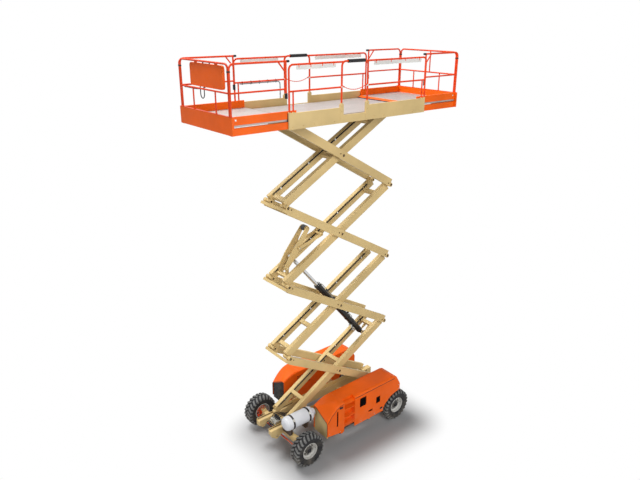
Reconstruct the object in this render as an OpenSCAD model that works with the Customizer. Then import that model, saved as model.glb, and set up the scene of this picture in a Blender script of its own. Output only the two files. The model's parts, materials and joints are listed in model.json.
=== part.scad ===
// Rough-terrain scissor lift with a four-stage arm stack and two deck extensions.
// Millimetres. X runs from the steered end to the rear, Y across, Z up.

/* [Lift] */
// Distance between the end pins of an arm
arm_length = 3464; // [3440:1:3480]
// Angle of the arms as the machine stands
arm_angle = 30.92; // [30:0.01:32]
// Height of the lowest arm pivots
pivot_z = 765; // [755:1:775]
// Place of the fixed rear pivots
pivot_x = 1522; // [1500:1:1540]
// Reach of the top arms above their middle pin
top_reach = 1560; // [1540:1:1580]
// Height of an arm tube
arm_height = 178; // [150:1:182]
// Width of an inner arm tube
inner_width = 100; // [90:1:104]
// Width of an outer arm tube
outer_width = 90; // [70:1:96]
// Distance of the pins from the tube axis at the arm ends
pin_offset = 40; // [30:1:44]
// Radius of the arm pins
pin_radius = 30; // [24:1:36]
// Radius of the lift barrel
barrel_radius = 75; // [60:1:80]
// Radius of the lift rod
rod_radius = 45; // [35:1:50]
// Length of the lift barrel from its base pin to the gland
barrel_length = 2235; // [2150:5:2300]
// Length of the lift lever between its pins
lever_length = 977; // [900:1:1000]

/* [Undercarriage] */
// Distance between the axles
wheelbase = 2840; // [2800:1:2880]
// Distance between the tyre middles of an axle
track = 1948; // [1930:1:1970]
// Outer radius of a tyre to the tip of its lugs
tyre_radius = 407; // [395:1:412]
// Width of a tyre
tyre_width = 292; // [270:1:300]
// Radius of a rim at the tyre bead
rim_radius = 205; // [190:1:215]
// Distance of the king pins from the middle plane
kingpin_y = 860; // [850:1:868]
// Reach of the steering arms ahead of the king pins
steer_reach = 125; // [110:1:130]
// Height of the slide rails above the floor
rail_top = 812; // [800:1:814]

/* [Covers] */
// Distance of the cover sides from the middle plane
cover_side = 1112; // [1100:1:1118]
// Distance of the inner cover walls from the middle plane
cover_inner = 600; // [585:1:615]
// Thickness of the cover walls
cover_wall = 14; // [8:1:18]

/* [Platform] */
// Length of the main deck
deck_length = 3684; // [3650:1:3700]
// Overall width of the platform
deck_width = 1896; // [1880:1:1910]
// Height of the deck above the top arm pins
deck_rise = 160; // [155:1:170]
// Height of the guard rails above the deck
guard_height = 1060; // [1000:5:1100]
// Radius of the guard rail tubes
guard_radius = 19; // [16:0.5:20]
// Reach of an extended deck beyond the main deck
ext_reach = 1180; // [1100:5:1190]

/* [Hidden] */
$fn = 48;

// running gap between pins and bores
fit = 0.3;
// free gap between moving pieces
clear = 5;

stage = arm_length * sin(arm_angle);
span = arm_length * cos(arm_angle);
slide_x = pivot_x - span;
top_z = pivot_z + 3.5 * stage + top_reach * sin(arm_angle);
top_x = pivot_x - (arm_length / 2 - top_reach) * cos(arm_angle);
top_length = arm_length / 2 + top_reach;
tube_tilt = asin(2 * pin_offset / arm_length);

inner_y = 250;
outer_y = 365;
pin_in = inner_y - inner_width / 2 - 14;
boss = 50;
pin_head = pin_radius + 12;

rail_half = inner_width / 2 + 13;
rail_wall = 6;
rail_floor = pivot_z - 60;
rail_bottom = 600;
rail_front = -1950;
rail_low = 745;
rail_rear = 1700;

axle_z = tyre_radius;
front_x = -wheelbase / 2;
rear_x = wheelbase / 2;
hub_y = track / 2;
spindle_radius = 42;

deck_z = top_z + deck_rise;
deck_mid = 57;
deck_x0 = deck_mid - deck_length / 2;
deck_x1 = deck_x0 + deck_length;
panel_z = deck_z - 140;
panel_height = 290;
panel_wall = 30;
side_y = deck_width / 2;
guard_y = side_y - panel_wall / 2;
guard_z = deck_z + guard_height;
ext_y = 880;
main_rail = deck_z + 1000;
main_mid = deck_z + 535;
ext_mid = deck_z + 580;
entry_x0 = -505;
entry_x1 = 175;
socket_half = 45;
socket_top = deck_z + 214;
rail_turn = 90;
ext_wall = 40;

// positions of the lever hinge and base pin on their arms
lever_hinge = [290, 190];
hinge_tube = 190;
lever_in = barrel_radius + 15;
lever_out = lever_in + 22;
base_pin = [arm_length - 538, -62];
rod_pin_on_lever = [270, -33];
link_pin_on_lever = [520, -40];
lever_angle = 22;
link_angle = -37;
link_length = 660;
function turn(p, a) = [p[0] * cos(a) - p[1] * sin(a), p[0] * sin(a) + p[1] * cos(a)];
function on_inner(p, k) = [slide_x, pivot_z + k * stage] + turn(p, arm_angle);
lever_at = on_inner(lever_hinge, 2);
eye_at = lever_at + turn(rod_pin_on_lever, arm_angle + lever_angle);
base_at = on_inner(base_pin, 0);
link_at = lever_at + turn(link_pin_on_lever, arm_angle + lever_angle);
cylinder_run = norm(eye_at - base_at);
cylinder_angle = atan2(eye_at[1] - base_at[1], eye_at[0] - base_at[0]);

// box from its lower to its upper corner
module block(a, b) {
    translate(a)
        cube(b - a);
}

// round bar between two points
module bar(p, q, r) {
    v = q - p;
    l = norm(v);
    translate(p)
        rotate([0, acos(v[2] / l), atan2(v[1], v[0])])
            cylinder(h = l, r = r);
}

// round bar along Y
module bar_y(x, y0, y1, z, r) {
    translate([x, y1, z])
        rotate([90, 0, 0])
            cylinder(h = y1 - y0, r = r);
}

// flat shape of the X-Z plane carried from y0 to y1
module slab(y0, y1) {
    translate([0, y1, 0])
        rotate([90, 0, 0])
            linear_extrude(y1 - y0)
                children();
}

// the same piece on both sides of the middle plane
module both() {
    children();
    mirror([0, 1, 0])
        children();
}

// piece drawn along an inner arm, lower pin at the origin
module at_inner(k) {
    translate([slide_x, 0, pivot_z + k * stage])
        rotate([0, -arm_angle, 0])
            children();
}

// piece drawn along an outer arm, lower pin at the origin
module at_outer(k) {
    translate([pivot_x, 0, pivot_z + k * stage])
        mirror([1, 0, 0])
            rotate([0, -arm_angle, 0])
                children();
}

// side view of an arm with its pin line on the first axis
module arm_side(l) {
    translate([arm_length / 2, 0])
        rotate(-tube_tilt)
            translate([25 - arm_length / 2, -arm_height / 2])
                square([l - 50, arm_height]);
    circle(boss);
    translate([l, 0])
        circle(boss);
}

cross_size = 90;
function tube_axis(s) = pin_offset * (1 - 2 * s / arm_length);

// square tube across an inner arm, raised from its axis
module cross_tube(s, half, size, rise = 0) {
    translate([s, 0, tube_axis(s) + rise])
        rotate([0, tube_tilt, 0])
            translate([-size / 2, -half, -size / 2])
                cube([size, 2 * half, size]);
}

module inner_frame(l, crosses, rise = 0) {
    both()
        slab(inner_y - inner_width / 2, inner_y + inner_width / 2)
            difference() {
                arm_side(l);
                circle(pin_radius + fit);
                translate([arm_length / 2, 0])
                    circle(pin_radius + fit);
                translate([l, 0])
                    circle(pin_radius + fit);
            }
    for (s = crosses)
        cross_tube(s * arm_length, inner_y - inner_width / 2 + 8, cross_size, rise);
}

// pin fixed in an outer arm and reaching through the inner one
module arm_pin(s) {
    both() {
        bar_y(s, pin_in, outer_y + outer_width / 2 + 12, 0, pin_radius);
        bar_y(s, pin_in - 10, pin_in, 0, pin_head);
        bar_y(s, inner_y + inner_width / 2 + clear, outer_y, 0, pin_head);
    }
}

module outer_frame(l, pins, plate) {
    both()
        slab(outer_y - outer_width / 2, outer_y + outer_width / 2)
            arm_side(l);
    for (s = pins)
        arm_pin(s);
    if (plate) {
        both()
            block([l - 60, outer_y - outer_width / 2, -110], [l + 84, outer_y + outer_width / 2, -46]);
        block([l + 64, -outer_y, -110], [l + 84, outer_y, -46]);
    }
}

module outer_arm_1() {
    color("#d8c6a0")
        at_outer(0)
            outer_frame(arm_length, [0, arm_length / 2, arm_length], true);
}

module inner_arm_1() {
    color("#d8c6a0")
        at_inner(0) {
            difference() {
                inner_frame(arm_length, [0.18, 0.55], (arm_height - cross_size) / 2);
                both()
                    block([-80, inner_y - 34, -120], [80, inner_y + 34, 140]);
            }
            both() {
                bar_y(0, inner_y - 30, inner_y + 30, 0, 58);
                bar_y(0, inner_y - inner_width / 2, inner_y + inner_width / 2, 0, pin_radius + fit);
            }
            cross_tube(base_pin[0] + 284, inner_y - inner_width / 2 + 8, cross_size);
            both()
                slab(64, 84)
                    translate(base_pin)
                        difference() {
                            union() {
                                circle(48);
                                polygon([[0, -48], [250, -75], [250, 20], [140, -10], [100, -30], [30, 20], [0, 48]]);
                            }
                            circle(pin_radius + fit);
                        }
        }
}

module inner_arm_2() {
    color("#d8c6a0")
        at_inner(1)
            inner_frame(arm_length, [0.058, 0.26]);
}

module outer_arm_2() {
    color("#d8c6a0")
        at_outer(1)
            outer_frame(arm_length, [0, arm_length / 2, arm_length], true);
}

module outer_arm_3() {
    color("#d8c6a0")
        at_outer(2)
            outer_frame(arm_length, [0, arm_length / 2, arm_length], true);
}

module inner_arm_3() {
    color("#d8c6a0")
        at_inner(2) {
            inner_frame(arm_length, [hinge_tube / arm_length, 0.9]);
            both()
                slab(lever_out + clear, lever_out + 27)
                    difference() {
                        union() {
                            translate(lever_hinge)
                                circle(48);
                            polygon([[hinge_tube - 45, 10], [hinge_tube + 45, 10],
                                lever_hinge + [48, 0], lever_hinge + [-48, 0]]);
                        }
                        translate(lever_hinge)
                            circle(pin_radius + fit);
                    }
        }
}

module inner_arm_4() {
    color("#d8c6a0")
        at_inner(3)
            inner_frame(top_length, [0.035, 0.463, 0.837]);
}

module outer_arm_4() {
    color("#d8c6a0")
        at_outer(3) {
            outer_frame(top_length, [0, arm_length / 2], false);
            both() {
                bar_y(top_length, outer_y, outer_y + outer_width / 2 + 44, 0, 24);
                bar_y(top_length, outer_y + outer_width / 2 + 4, outer_y + outer_width / 2 + 44, 0, 55);
            }
            bar_y(top_length, -outer_y, outer_y, 0, 24);
        }
}

// piece drawn along the lift cylinder, base pin at the origin
module at_cylinder() {
    translate([base_at[0], 0, base_at[1]])
        rotate([0, -cylinder_angle, 0])
            children();
}

module lift_barrel() {
    color("#202020")
        at_cylinder() {
            difference() {
                union() {
                    translate([70, 0, 0])
                        rotate([0, 90, 0])
                            cylinder(h = barrel_length - 70, r = barrel_radius);
                    translate([barrel_length - 70, 0, 0])
                        rotate([0, 90, 0])
                            cylinder(h = 70, r = barrel_radius + 9);
                    for (x = [527, 743, 1247])
                        translate([x - 20, 0, 0])
                            rotate([0, 90, 0])
                                cylinder(h = 40, r = barrel_radius + 7);
                    bar_y(0, -56, 56, 0, 46);
                    block([0, -50, -40], [100, 50, 40]);
                }
                translate([140, 0, 0])
                    rotate([0, 90, 0])
                        cylinder(h = barrel_length, r = rod_radius + fit);
            }
            bar_y(0, -92, 92, 0, pin_radius);
        }
}

module lift_rod() {
    color("#c8ccd0")
        at_cylinder() {
            difference() {
                union() {
                    translate([barrel_length - 960, 0, 0])
                        rotate([0, 90, 0])
                            cylinder(h = cylinder_run - barrel_length + 960 - 30, r = rod_radius);
                    bar_y(cylinder_run, -52, 52, 0, 50);
                }
                bar_y(cylinder_run, -60, 60, 0, pin_radius - 2 + fit);
            }
        }
}

// piece drawn along the lever, hinge at the origin
module at_lever() {
    translate([lever_at[0], 0, lever_at[1]])
        rotate([0, -arm_angle - lever_angle, 0])
            children();
}

module lift_lever() {
    color("#d8c6a0")
        at_lever() {
            both()
                slab(lever_in, lever_out) {
                    circle(55);
                    translate([lever_length, 0])
                        circle(50);
                    polygon([[0, -55], [rod_pin_on_lever[0], -90], [600, -85], [lever_length, -50],
                        [lever_length, 50], [300, 80], [0, 55]]);
                }
            both() {
                bar_y(0, lever_in, lever_out + 37, 0, pin_radius);
                bar_y(rod_pin_on_lever[0], 60, lever_out + 8, rod_pin_on_lever[1], pin_radius - 2);
                bar_y(link_pin_on_lever[0], lever_in, lever_out + 30, link_pin_on_lever[1], 24);
            }
            bar_y(lever_length, -lever_out, lever_out, 0, 24);
            bar_y(lever_length, -70, 70, 0, 62);
        }
}

module lever_link() {
    color("#5a4a3a")
        translate([link_at[0], 0, link_at[1]])
            rotate([0, -arm_angle - lever_angle - link_angle, 0])
                {
                    both()
                        slab(lever_out + clear, lever_out + 21)
                            difference() {
                                union() {
                                    circle(44);
                                    translate([0, -34])
                                        square([link_length, 68]);
                                    translate([link_length, 0])
                                        circle(34);
                                }
                                circle(24 + fit);
                            }
                    bar_y(link_length, -lever_out - 21, lever_out + 21, 0, 24);
                }
}

module slide_rail() {
    difference() {
        block([rail_front, inner_y - rail_half - rail_wall, rail_bottom],
            [rail_rear, inner_y + rail_half + rail_wall, rail_top]);
        block([rail_front - 1, inner_y - rail_half, rail_floor],
            [pivot_x - 110, inner_y + rail_half, rail_top + 1]);
        // the walls are lower toward the front
        slab(0, 400)
            polygon([[rail_front - 1, rail_low], [-1400, rail_low], [-900, rail_top], [-900, rail_top + 1],
                [rail_front - 1, rail_top + 1]]);
        bar_y(pivot_x, 0, 400, pivot_z, pin_radius + fit);
        // room for the head and the collar of the pivot pin
        bar_y(pivot_x, 0, pin_in + 1, pivot_z, pin_head + 2);
        bar_y(pivot_x, inner_y + inner_width / 2 + clear - 1, 400, pivot_z, pin_head + 2);
    }
}

lug_hole = 28;
lug_x = -1790;
lug_z = 525;
lug_rear_x = 1640;

// tie-down plate under the front end of a rail
module lug_plate(x) {
    slab(inner_y + 20, inner_y + 44)
        difference() {
            union() {
                translate([x, lug_z])
                    circle(68);
                polygon([[x - 60, lug_z - 32], [rail_front, rail_bottom - 30], [rail_front, rail_bottom + 20],
                    [x + 240, rail_bottom + 20], [x + 240, rail_bottom - 20], [x + 60, lug_z - 32], [x, lug_z]]);
            }
            translate([x, lug_z])
                circle(lug_hole);
        }
}

module chassis_frame() {
    color("#d8c6a0") {
        both() {
            slide_rail();
            lug_plate(lug_x);
            slab(inner_y + 20, inner_y + 44)
                difference() {
                    union() {
                        translate([lug_rear_x, lug_z])
                            circle(58);
                        translate([lug_rear_x - 58, lug_z])
                            square([116, rail_bottom + 20 - lug_z]);
                    }
                    translate([lug_rear_x, lug_z])
                        circle(lug_hole);
                }
        }
    }
}

// beams between the rails and outriggers under the covers
module cross_beams() {
    rail_in = inner_y - rail_half - rail_wall;
    rail_out = inner_y + rail_half + rail_wall;
    color("#d8c6a0") {
        for (x = [front_x, -700, 500, rear_x])
            block([x - 60, -rail_in, rail_bottom], [x + 60, rail_in, rail_bottom + 80]);
        both()
            for (x = [-700, 500])
                block([x, rail_out, rail_bottom], [x + 100, 1000, rail_bottom + 70]);
    }
}

yoke_y = kingpin_y;
yoke_half = 66;

module front_axle() {
    color("#d8c6a0") {
        block([front_x - 60, -yoke_y + 70, axle_z - 65], [front_x + 60, yoke_y - 70, axle_z + 65]);
        both() {
            block([front_x - 70, inner_y - 90, axle_z + 60], [front_x + 70, inner_y + 60, rail_bottom]);
            difference() {
                union() {
                    block([front_x - 55, yoke_y - 110, axle_z - 98], [front_x + 55, yoke_y, axle_z - yoke_half]);
                    block([front_x - 55, yoke_y - 110, axle_z + yoke_half], [front_x + 55, yoke_y, axle_z + 98]);
                    translate([front_x, yoke_y, axle_z - 98])
                        cylinder(h = 32, r = 50);
                    translate([front_x, yoke_y, axle_z + yoke_half])
                        cylinder(h = 32, r = 50);
                    block([front_x - 55, yoke_y - 110, axle_z - 98], [front_x + 55, yoke_y - 70, axle_z + 98]);
                }
                translate([front_x, yoke_y, 0])
                    cylinder(h = 1000, r = 26 + fit);
            }
        }
    }
}

module rear_axle() {
    color("#d8c6a0") {
        block([rear_x - 75, -640, axle_z - 75], [rear_x + 75, 640, axle_z + 75]);
        both() {
            block([rear_x - 70, inner_y - 90, axle_z + 70], [rear_x + 70, inner_y + 60, rail_bottom]);
            bar_y(rear_x, 630, hub_y - tyre_width / 2 - 10, axle_z, 110);
            bar_y(rear_x, 640, hub_y + 60, axle_z, spindle_radius);
        }
    }
}

// hub, king pin and steering arm of a front wheel at the left side
module knuckle() {
    translate([front_x, yoke_y, axle_z - 98])
        cylinder(h = 196, r = 26);
    translate([front_x, yoke_y, axle_z - yoke_half + 6])
        cylinder(h = 2 * yoke_half - 12, r = 52);
    bar_y(front_x, yoke_y, hub_y - 46, axle_z, 60);
    bar_y(front_x, yoke_y, hub_y + 60, axle_z, spindle_radius);
    bar_y(front_x, hub_y - 57, hub_y - 46, axle_z, 135);
    difference() {
        union() {
            block([front_x - steer_reach, yoke_y - 28, axle_z - 40], [front_x, yoke_y + 28, axle_z - 12]);
            translate([front_x - steer_reach, yoke_y, axle_z - 40])
                cylinder(h = 28, r = 30);
        }
        translate([front_x - steer_reach, yoke_y, 0])
            cylinder(h = 1000, r = 14 + fit);
    }
}

module left_knuckle() {
    color("#b8452a")
        mirror([0, 1, 0])
            knuckle();
}

module right_knuckle() {
    color("#b8452a")
        knuckle();
}

module tie_rod() {
    color("#b8452a") {
        both() {
            translate([front_x - steer_reach, yoke_y, axle_z - 84])
                cylinder(h = 74, r = 14);
            translate([front_x - steer_reach, yoke_y, axle_z - 84])
                cylinder(h = 38, r = 30);
        }
        bar_y(front_x - steer_reach, -yoke_y + 10, yoke_y - 10, axle_z - 65, 19);
    }
}

lugs = 24;
lug_depth = 24;
lug_skew = 9;
lug_pitch = 360 / lugs;
lug_tip = tyre_radius / cos(lug_pitch / 4);
columns = 2 * lugs;
rings = 10;
half_width = tyre_width / 2;
// half section of a tyre from its bore to the groove in the middle of the tread
half_section = [[(rim_radius + 0.05) / cos(lug_pitch / 4), half_width - 40],
    [rim_radius + 55, half_width - 5],
    [tyre_radius - 80, half_width],
    [lug_tip - lug_depth - 12, half_width - 24],
    [lug_tip - lug_depth, 9]];
tyre_section = concat([for (p = half_section) [p[0], -p[1]]],
    [for (i = [4 : -1 : 0]) half_section[i]]);

function ring_point(r, i, up) =
    let (a = lug_pitch / 2 * (i + 0.5) + (r == 4 || r == 5 ? 0 : lug_skew), d = tyre_section[r][0] + up)
    [d * cos(a), d * sin(a), tyre_section[r][1]];
function ring_id(r, i) = (r % rings) * columns + i % columns;
function patch(r, i) = [ring_id(r, i), ring_id(r, i + 1), ring_id(r + 1, i + 1), ring_id(r + 1, i)];
function has_lug(r, i) = (r == 3 && i % 2 == 0) || (r == 5 && i % 2 == 1);
function lug_faces(base, first) = let (top = [for (k = [0 : 3]) first + k])
    concat([top], [for (k = [0 : 3]) [base[k], base[(k + 1) % 4], top[(k + 1) % 4], top[k]]]);

// tyre about the Y axis with two rows of slanted lugs set half a pitch apart
module tyre(x, y) {
    spots = [for (r = [3, 5]) for (i = [0 : columns - 1]) if (has_lug(r, i)) [r, i]];
    points = concat([for (r = [0 : rings - 1]) for (i = [0 : columns - 1]) ring_point(r, i, 0)],
        [for (p = spots) each [ring_point(p[0], p[1], lug_depth), ring_point(p[0], p[1] + 1, lug_depth),
            ring_point(p[0] + 1, p[1] + 1, lug_depth), ring_point(p[0] + 1, p[1], lug_depth)]]);
    plain = [for (r = [0 : rings - 1]) for (i = [0 : columns - 1]) if (!has_lug(r, i)) patch(r, i)];
    raised = [for (k = [0 : len(spots) - 1])
        each lug_faces(patch(spots[k][0], spots[k][1]), rings * columns + 4 * k)];
    color("#26262a")
        translate([x, y, axle_z])
            rotate([90, 0, 0])
                polyhedron(points, [for (f = concat(plain, raised)) each [[f[3], f[2], f[1]], [f[3], f[1], f[0]]]]);
}

// dished rim about the Y axis, its hub open toward the spindle
module rim(x, y, s) {
    color("#c9c9c6")
        translate([x, y, axle_z])
            rotate([s * 90, 0, 0])
                rotate_extrude($fn = 96)
                    polygon([[spindle_radius + fit, -40], [spindle_radius + fit, 66], [0, 66], [0, 84],
                        [62, 84], [70, 60], [150, 36], [rim_radius - 18, 60], [rim_radius - 14, 118],
                        [rim_radius, 118], [rim_radius, -118], [rim_radius - 14, -118], [rim_radius - 14, 10],
                        [150, 10], [78, 30], [78, -40]]);
}

module tyre_fl() { tyre(front_x, -hub_y); }
module tyre_fr() { tyre(front_x, hub_y); }
module tyre_rl() { tyre(rear_x, -hub_y); }
module tyre_rr() { tyre(rear_x, hub_y); }
module rim_fl() { rim(front_x, -hub_y, 1); }
module rim_fr() { rim(front_x, hub_y, -1); }
module rim_rl() { rim(rear_x, -hub_y, 1); }
module rim_rr() { rim(rear_x, hub_y, -1); }

cover_x0 = -925;
cover_base = 480;
tray_z = rail_bottom - 100;
tray_floor = 24;
hinge_y = cover_side - 20;
hinge_z = cover_base - 10;
hinge_r = 10;
step_depth = 120;
step_x0 = -400;
step_x1 = -70;
step_low = 620;
step_high = 1400;
cover_bend = 333;

// side view of a cover
module cover_side_view(g) {
    polygon([[cover_x0 + g, cover_base + 80], [cover_x0 + g, 1180 - g], [-785 + g / 2, 1250 - g], [-620, 1305 - g],
        [-430, 1320 - g], [1240 - g / 2, 1340 - g], [1335 - g, 1310 - g], [1475 - g, 1060], [1475 - g, 880],
        [1330, 860], [1150, 800], [975, 660], [900, 560], [900, cover_base],
        [-440, cover_base]]);
}

// all that lies above a plane through a point, with its slopes along X and Y
module above(p, sx, sy) {
    translate(p)
        rotate([asin(sy / sqrt(1 + sx * sx + sy * sy)), -atan(sx), 0])
            translate([-2500, -2500, 0])
                cube([5000, 5000, 1500]);
}

// cut of a cover corner, moved inward by g
module corner(x, z, sx, sy, g) {
    above([x, cover_side, z - g * sqrt(1 + sx * sx + sy * sy)], sx, sy);
}

// curved front corner and rounded upper edge of a cover
module cover_corners(g) {
    for (x = [-860, -720, -560]) {
        // the outer edge falls toward the front, and the top leans outward with it
        fall = (-430 - x) / cover_bend;
        edge = 1297 - cover_bend * fall * fall / 2;
        corner(x, edge, fall, -0.08 - 0.36 * fall, g);
        corner(x, edge - 26, fall, -1.5, g);
    }
    corner(-430, 1297, 0.012, -0.5, g);
    corner(-430, 1274, 0.012, -2, g);
}

// hollow inside of a cover, open below and at its front
module cover_space() {
    difference() {
        slab(cover_inner, cover_side - cover_wall) {
            cover_side_view(cover_wall);
            polygon([[cover_x0 - 10, cover_base], [-785, cover_base], [-785 + cover_wall / 2, 1250 - cover_wall],
                [cover_x0 - 10, 1175 - cover_wall]]);
        }
        cover_corners(cover_wall);
    }
    slab(cover_inner, cover_side - cover_wall) {
        polygon([[cover_x0 - 10, cover_base - 10], [900 - cover_wall, cover_base - 10],
            [900 - cover_wall, 600], [cover_x0 - 10, 600]]);
    }
}

// cut-outs of the outer side
module cover_windows() {
    slab(cover_side - cover_wall - 1, cover_side + 1) {
        translate([90, 930])
            rounded(220, 260, 22);
        translate([640, 800])
            rounded(150, 190, 16);
        translate([390, 660])
            rounded(145, 60, 12);
        translate([-640, 710])
            rounded(50, 430, 12);
        translate([step_x0, cover_base - 20])
            square([step_x1 - step_x0, step_low - cover_wall - cover_base + 20]);
    }
}

// sloping tread across the step recess
module tread(z) {
    y0 = cover_side - step_depth - 1;
    y1 = cover_side - 4;
    translate([step_x0 - 1, 0, 0])
        rotate([90, 0, 90])
            linear_extrude(step_x1 - step_x0 + 2)
                polygon([[y0, z - 18], [y1, z - 46], [y1, z - 26], [y0, z]]);
}

// right cover: top, outer side and rear, open toward the tray, with steps let into its side
module cover() {
    for (x = [-500, 400])
        difference() {
            block([x, hinge_y - 14, hinge_z - 15], [x + 60, cover_side, cover_base + 20]);
            bar_x(x - 1, x + 61, hinge_y, hinge_z, hinge_r + fit);
        }
    difference() {
        slab(cover_inner + cover_wall + 6, cover_side)
            cover_side_view(0);
        cover_corners(0);
        difference() {
            cover_space();
            block([step_x0 - cover_wall, cover_side - step_depth - cover_wall, step_low - cover_wall],
                [step_x1 + cover_wall, cover_side, step_high + cover_wall]);
        }
        block([step_x0, cover_side - step_depth, step_low], [step_x1, cover_side + 1, step_high]);
        cover_windows();
    }
    for (z = [684, 885, 1106, 1255])
        tread(z);
}

module left_hood() {
    color("#d9601a")
        mirror([0, 1, 0])
            cover();
}

module right_hood() {
    color("#d9601a")
        cover();
}

// floor and front bulkhead of a tray
module tray() {
    block([cover_x0 + 14, cover_inner + 20, tray_z], [880, cover_side - 60, tray_z + tray_floor]);
    difference() {
        block([cover_x0 + 14, cover_inner + 20, tray_z], [cover_x0 + 34, cover_side - cover_wall - 6, 1150]);
        cover_corners(cover_wall + 6);
    }
    block([-700, cover_inner + 44, tray_z + 20], [-600, cover_side - 112, rail_bottom]);
    block([500, cover_inner + 44, tray_z + 20], [600, cover_side - 112, rail_bottom]);
    for (x = [-500, 400]) {
        bar_x(x - 30, x + 90, hinge_y, hinge_z, hinge_r);
        for (e = [x - 30, x + 66]) {
            block([e, cover_side - 90, hinge_z - 14], [e + 24, hinge_y - 8, tray_z + 10]);
            block([e, cover_side - 90, hinge_z - 14], [e + 24, hinge_y + 8, cover_base - clear]);
        }
    }
}

module left_tray() {
    color("#d8c6a0")
        mirror([0, 1, 0])
            tray();
}

module right_tray() {
    color("#d8c6a0")
        tray();
}

// inner wall of a cover
module wall() {
    difference() {
        slab(cover_inner, cover_inner + cover_wall)
            difference() {
                cover_side_view(0);
                translate([-705, rail_bottom - 5])
                    square([110, 80]);
                translate([495, rail_bottom - 5])
                    square([110, 80]);
            }
        for (i = [0 : 6])
            for (j = [0 : 4])
                block([-500 + i * 62, cover_inner - 1, 900 + j * 62],
                    [-458 + i * 62, cover_inner + cover_wall + 1, 942 + j * 62]);
    }
    block([cover_x0 + 60, cover_inner, tray_z + 24], [870, cover_inner + 40, tray_z + 44]);
}

module left_wall() {
    color("#d9601a")
        mirror([0, 1, 0])
            wall();
}

module right_wall() {
    color("#d9601a")
        wall();
}

module engine_block() {
    color("#5a2f28")
        block([-480, cover_inner + 60, tray_z + tray_floor], [420, cover_side - step_depth - 40, 1150]);
}

module oil_tank() {
    color("#3a3a3c")
        block([-560, step_depth + 40 - cover_side, tray_z + tray_floor], [300, -cover_inner - 80, 1050]);
}

bottle_y = -610;
bottle_z = 1030;
bottle_r = 168;

module gas_bottle() {
    color("#d4d6da")
        translate([-1815, bottle_y, bottle_z])
            rotate([0, 90, 0])
                rotate_extrude($fn = 72)
                    polygon([[0, 0], [60, 0], [112, 14], [148, 42], [bottle_r, 92], [bottle_r, 730], [148, 780],
                        [112, 808], [80, 816], [80, 870], [68, 870], [68, 820], [0, 820]]);
}

module bottle_cradle() {
    color("#2a2a2a")
        for (x = [-1640, -1180]) {
            difference() {
                bar_x(x, x + 44, bottle_y, bottle_z, bottle_r + 8);
                bar_x(x - 1, x + 45, bottle_y, bottle_z, bottle_r + fit);
            }
            difference() {
                block([x, bottle_y - 50, 700], [x + 44, bottle_y + 110, bottle_z - 100]);
                bar_x(x - 1, x + 45, bottle_y, bottle_z, bottle_r + fit);
            }
            block([x, bottle_y + 10, 640], [x + 44, -inner_y - rail_half - rail_wall, 704]);
        }
}

// round bar along X
module bar_x(x0, x1, y, z, r) {
    translate([x0, y, z])
        rotate([0, 90, 0])
            cylinder(h = x1 - x0, r = r);
}

beam_y = 845;
track_y0 = outer_y + outer_width / 2 + 2;
track_y1 = outer_y + outer_width / 2 + 62;
sub_z = top_z + 60;

module platform_frame() {
    color("#d8c6a0") {
        both() {
            // side panel with a low entry
            difference() {
                block([deck_x0, side_y - panel_wall, panel_z], [deck_x1, side_y, panel_z + panel_height]);
                block([entry_x0, side_y - panel_wall - 1, deck_z], [entry_x1, side_y + 1, post_z + 1]);
            }
            // sockets of the entry posts
            for (x = [entry_x0, entry_x1])
                block([x - socket_half, side_y - panel_wall, panel_z + 20], [x + socket_half, side_y + 4, socket_top]);
            block([deck_x0, beam_y - 40, panel_z - 12], [deck_x1, side_y, panel_z]);
            block([deck_x0, beam_y - 40, panel_z - 12], [deck_x1, beam_y, deck_z - 25]);
            // slide track of the top arms
            block([deck_x0, track_y1 - 12, top_z - 75], [-300, track_y1, sub_z + 10]);
            block([deck_x0, track_y0, top_z - 75], [-300, track_y1, top_z - 60]);
            block([deck_x0, outer_y - 60, sub_z], [-300, track_y1, sub_z + 12]);
            // pivots of the top arms
            bar_y(top_x, pin_in - 40, pin_in, top_z, 50);
            block([top_x - 50, pin_in - 40, top_z], [top_x + 50, pin_in, sub_z + 10]);
            bar_y(top_x, pin_in - 20, inner_y + inner_width / 2 + 12, top_z, pin_radius);
        }
        for (x = [deck_x0, -1120, -300, 480, top_x - 50, deck_x1 - 90])
            block([x, -beam_y + 10, sub_z], [x + 90, beam_y - 10, deck_z - 25]);
    }
}

module main_deck() {
    color("#b9b6c4") {
        block([deck_x0, -beam_y + 2, deck_z - 25], [deck_x1, beam_y - 2, deck_z]);
    }
}

// quarter bend of a rail tube between an upright and a level run
module rail_bend(x, y, z, bend, r, right, top) {
    translate([x, y, z])
        rotate([90, right ? 0 : 180, 0])
            rotate_extrude(angle = right == top ? 90 : -90)
                translate([bend, 0])
                    circle(r);
}

// upright rail tube
module upright(x, y, z0, z1, r) {
    translate([x, y, z0])
        cylinder(h = z1 - z0, r = r);
}

// rail tube with rounded ends turned down to the panel
module hoop(x0, x1, y, z0, z1, r, bend) {
    upright(x0, y, z0, z1 - bend, r);
    upright(x1, y, z0, z1 - bend, r);
    bar_x(x0 + bend, x1 - bend, y, z1, r);
    rail_bend(x0 + bend, y, z1 - bend, bend, r, false, true);
    rail_bend(x1 - bend, y, z1 - bend, bend, r, true, true);
}

post_z = panel_z + panel_height;

// rails of one side from an entry post to a rounded outer end
module guard_section(x_in, x_out) {
    right = x_out > x_in;
    s = right ? 1 : -1;
    r = guard_radius - 1;
    x_turn = x_out - s * rail_turn;
    x_top = x_in - s * 50;
    bar_x(min(x_top, x_turn), max(x_top, x_turn), guard_y, main_rail, r);
    rail_bend(x_turn, guard_y, main_rail - rail_turn, rail_turn, r, right, true);
    upright(x_out, guard_y, post_z, main_rail - rail_turn, r);
    bar_x(min(x_in, x_out), max(x_in, x_out), guard_y, main_mid, r - 1);
    upright(x_turn, guard_y, post_z, main_mid, r - 3);
}

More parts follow.
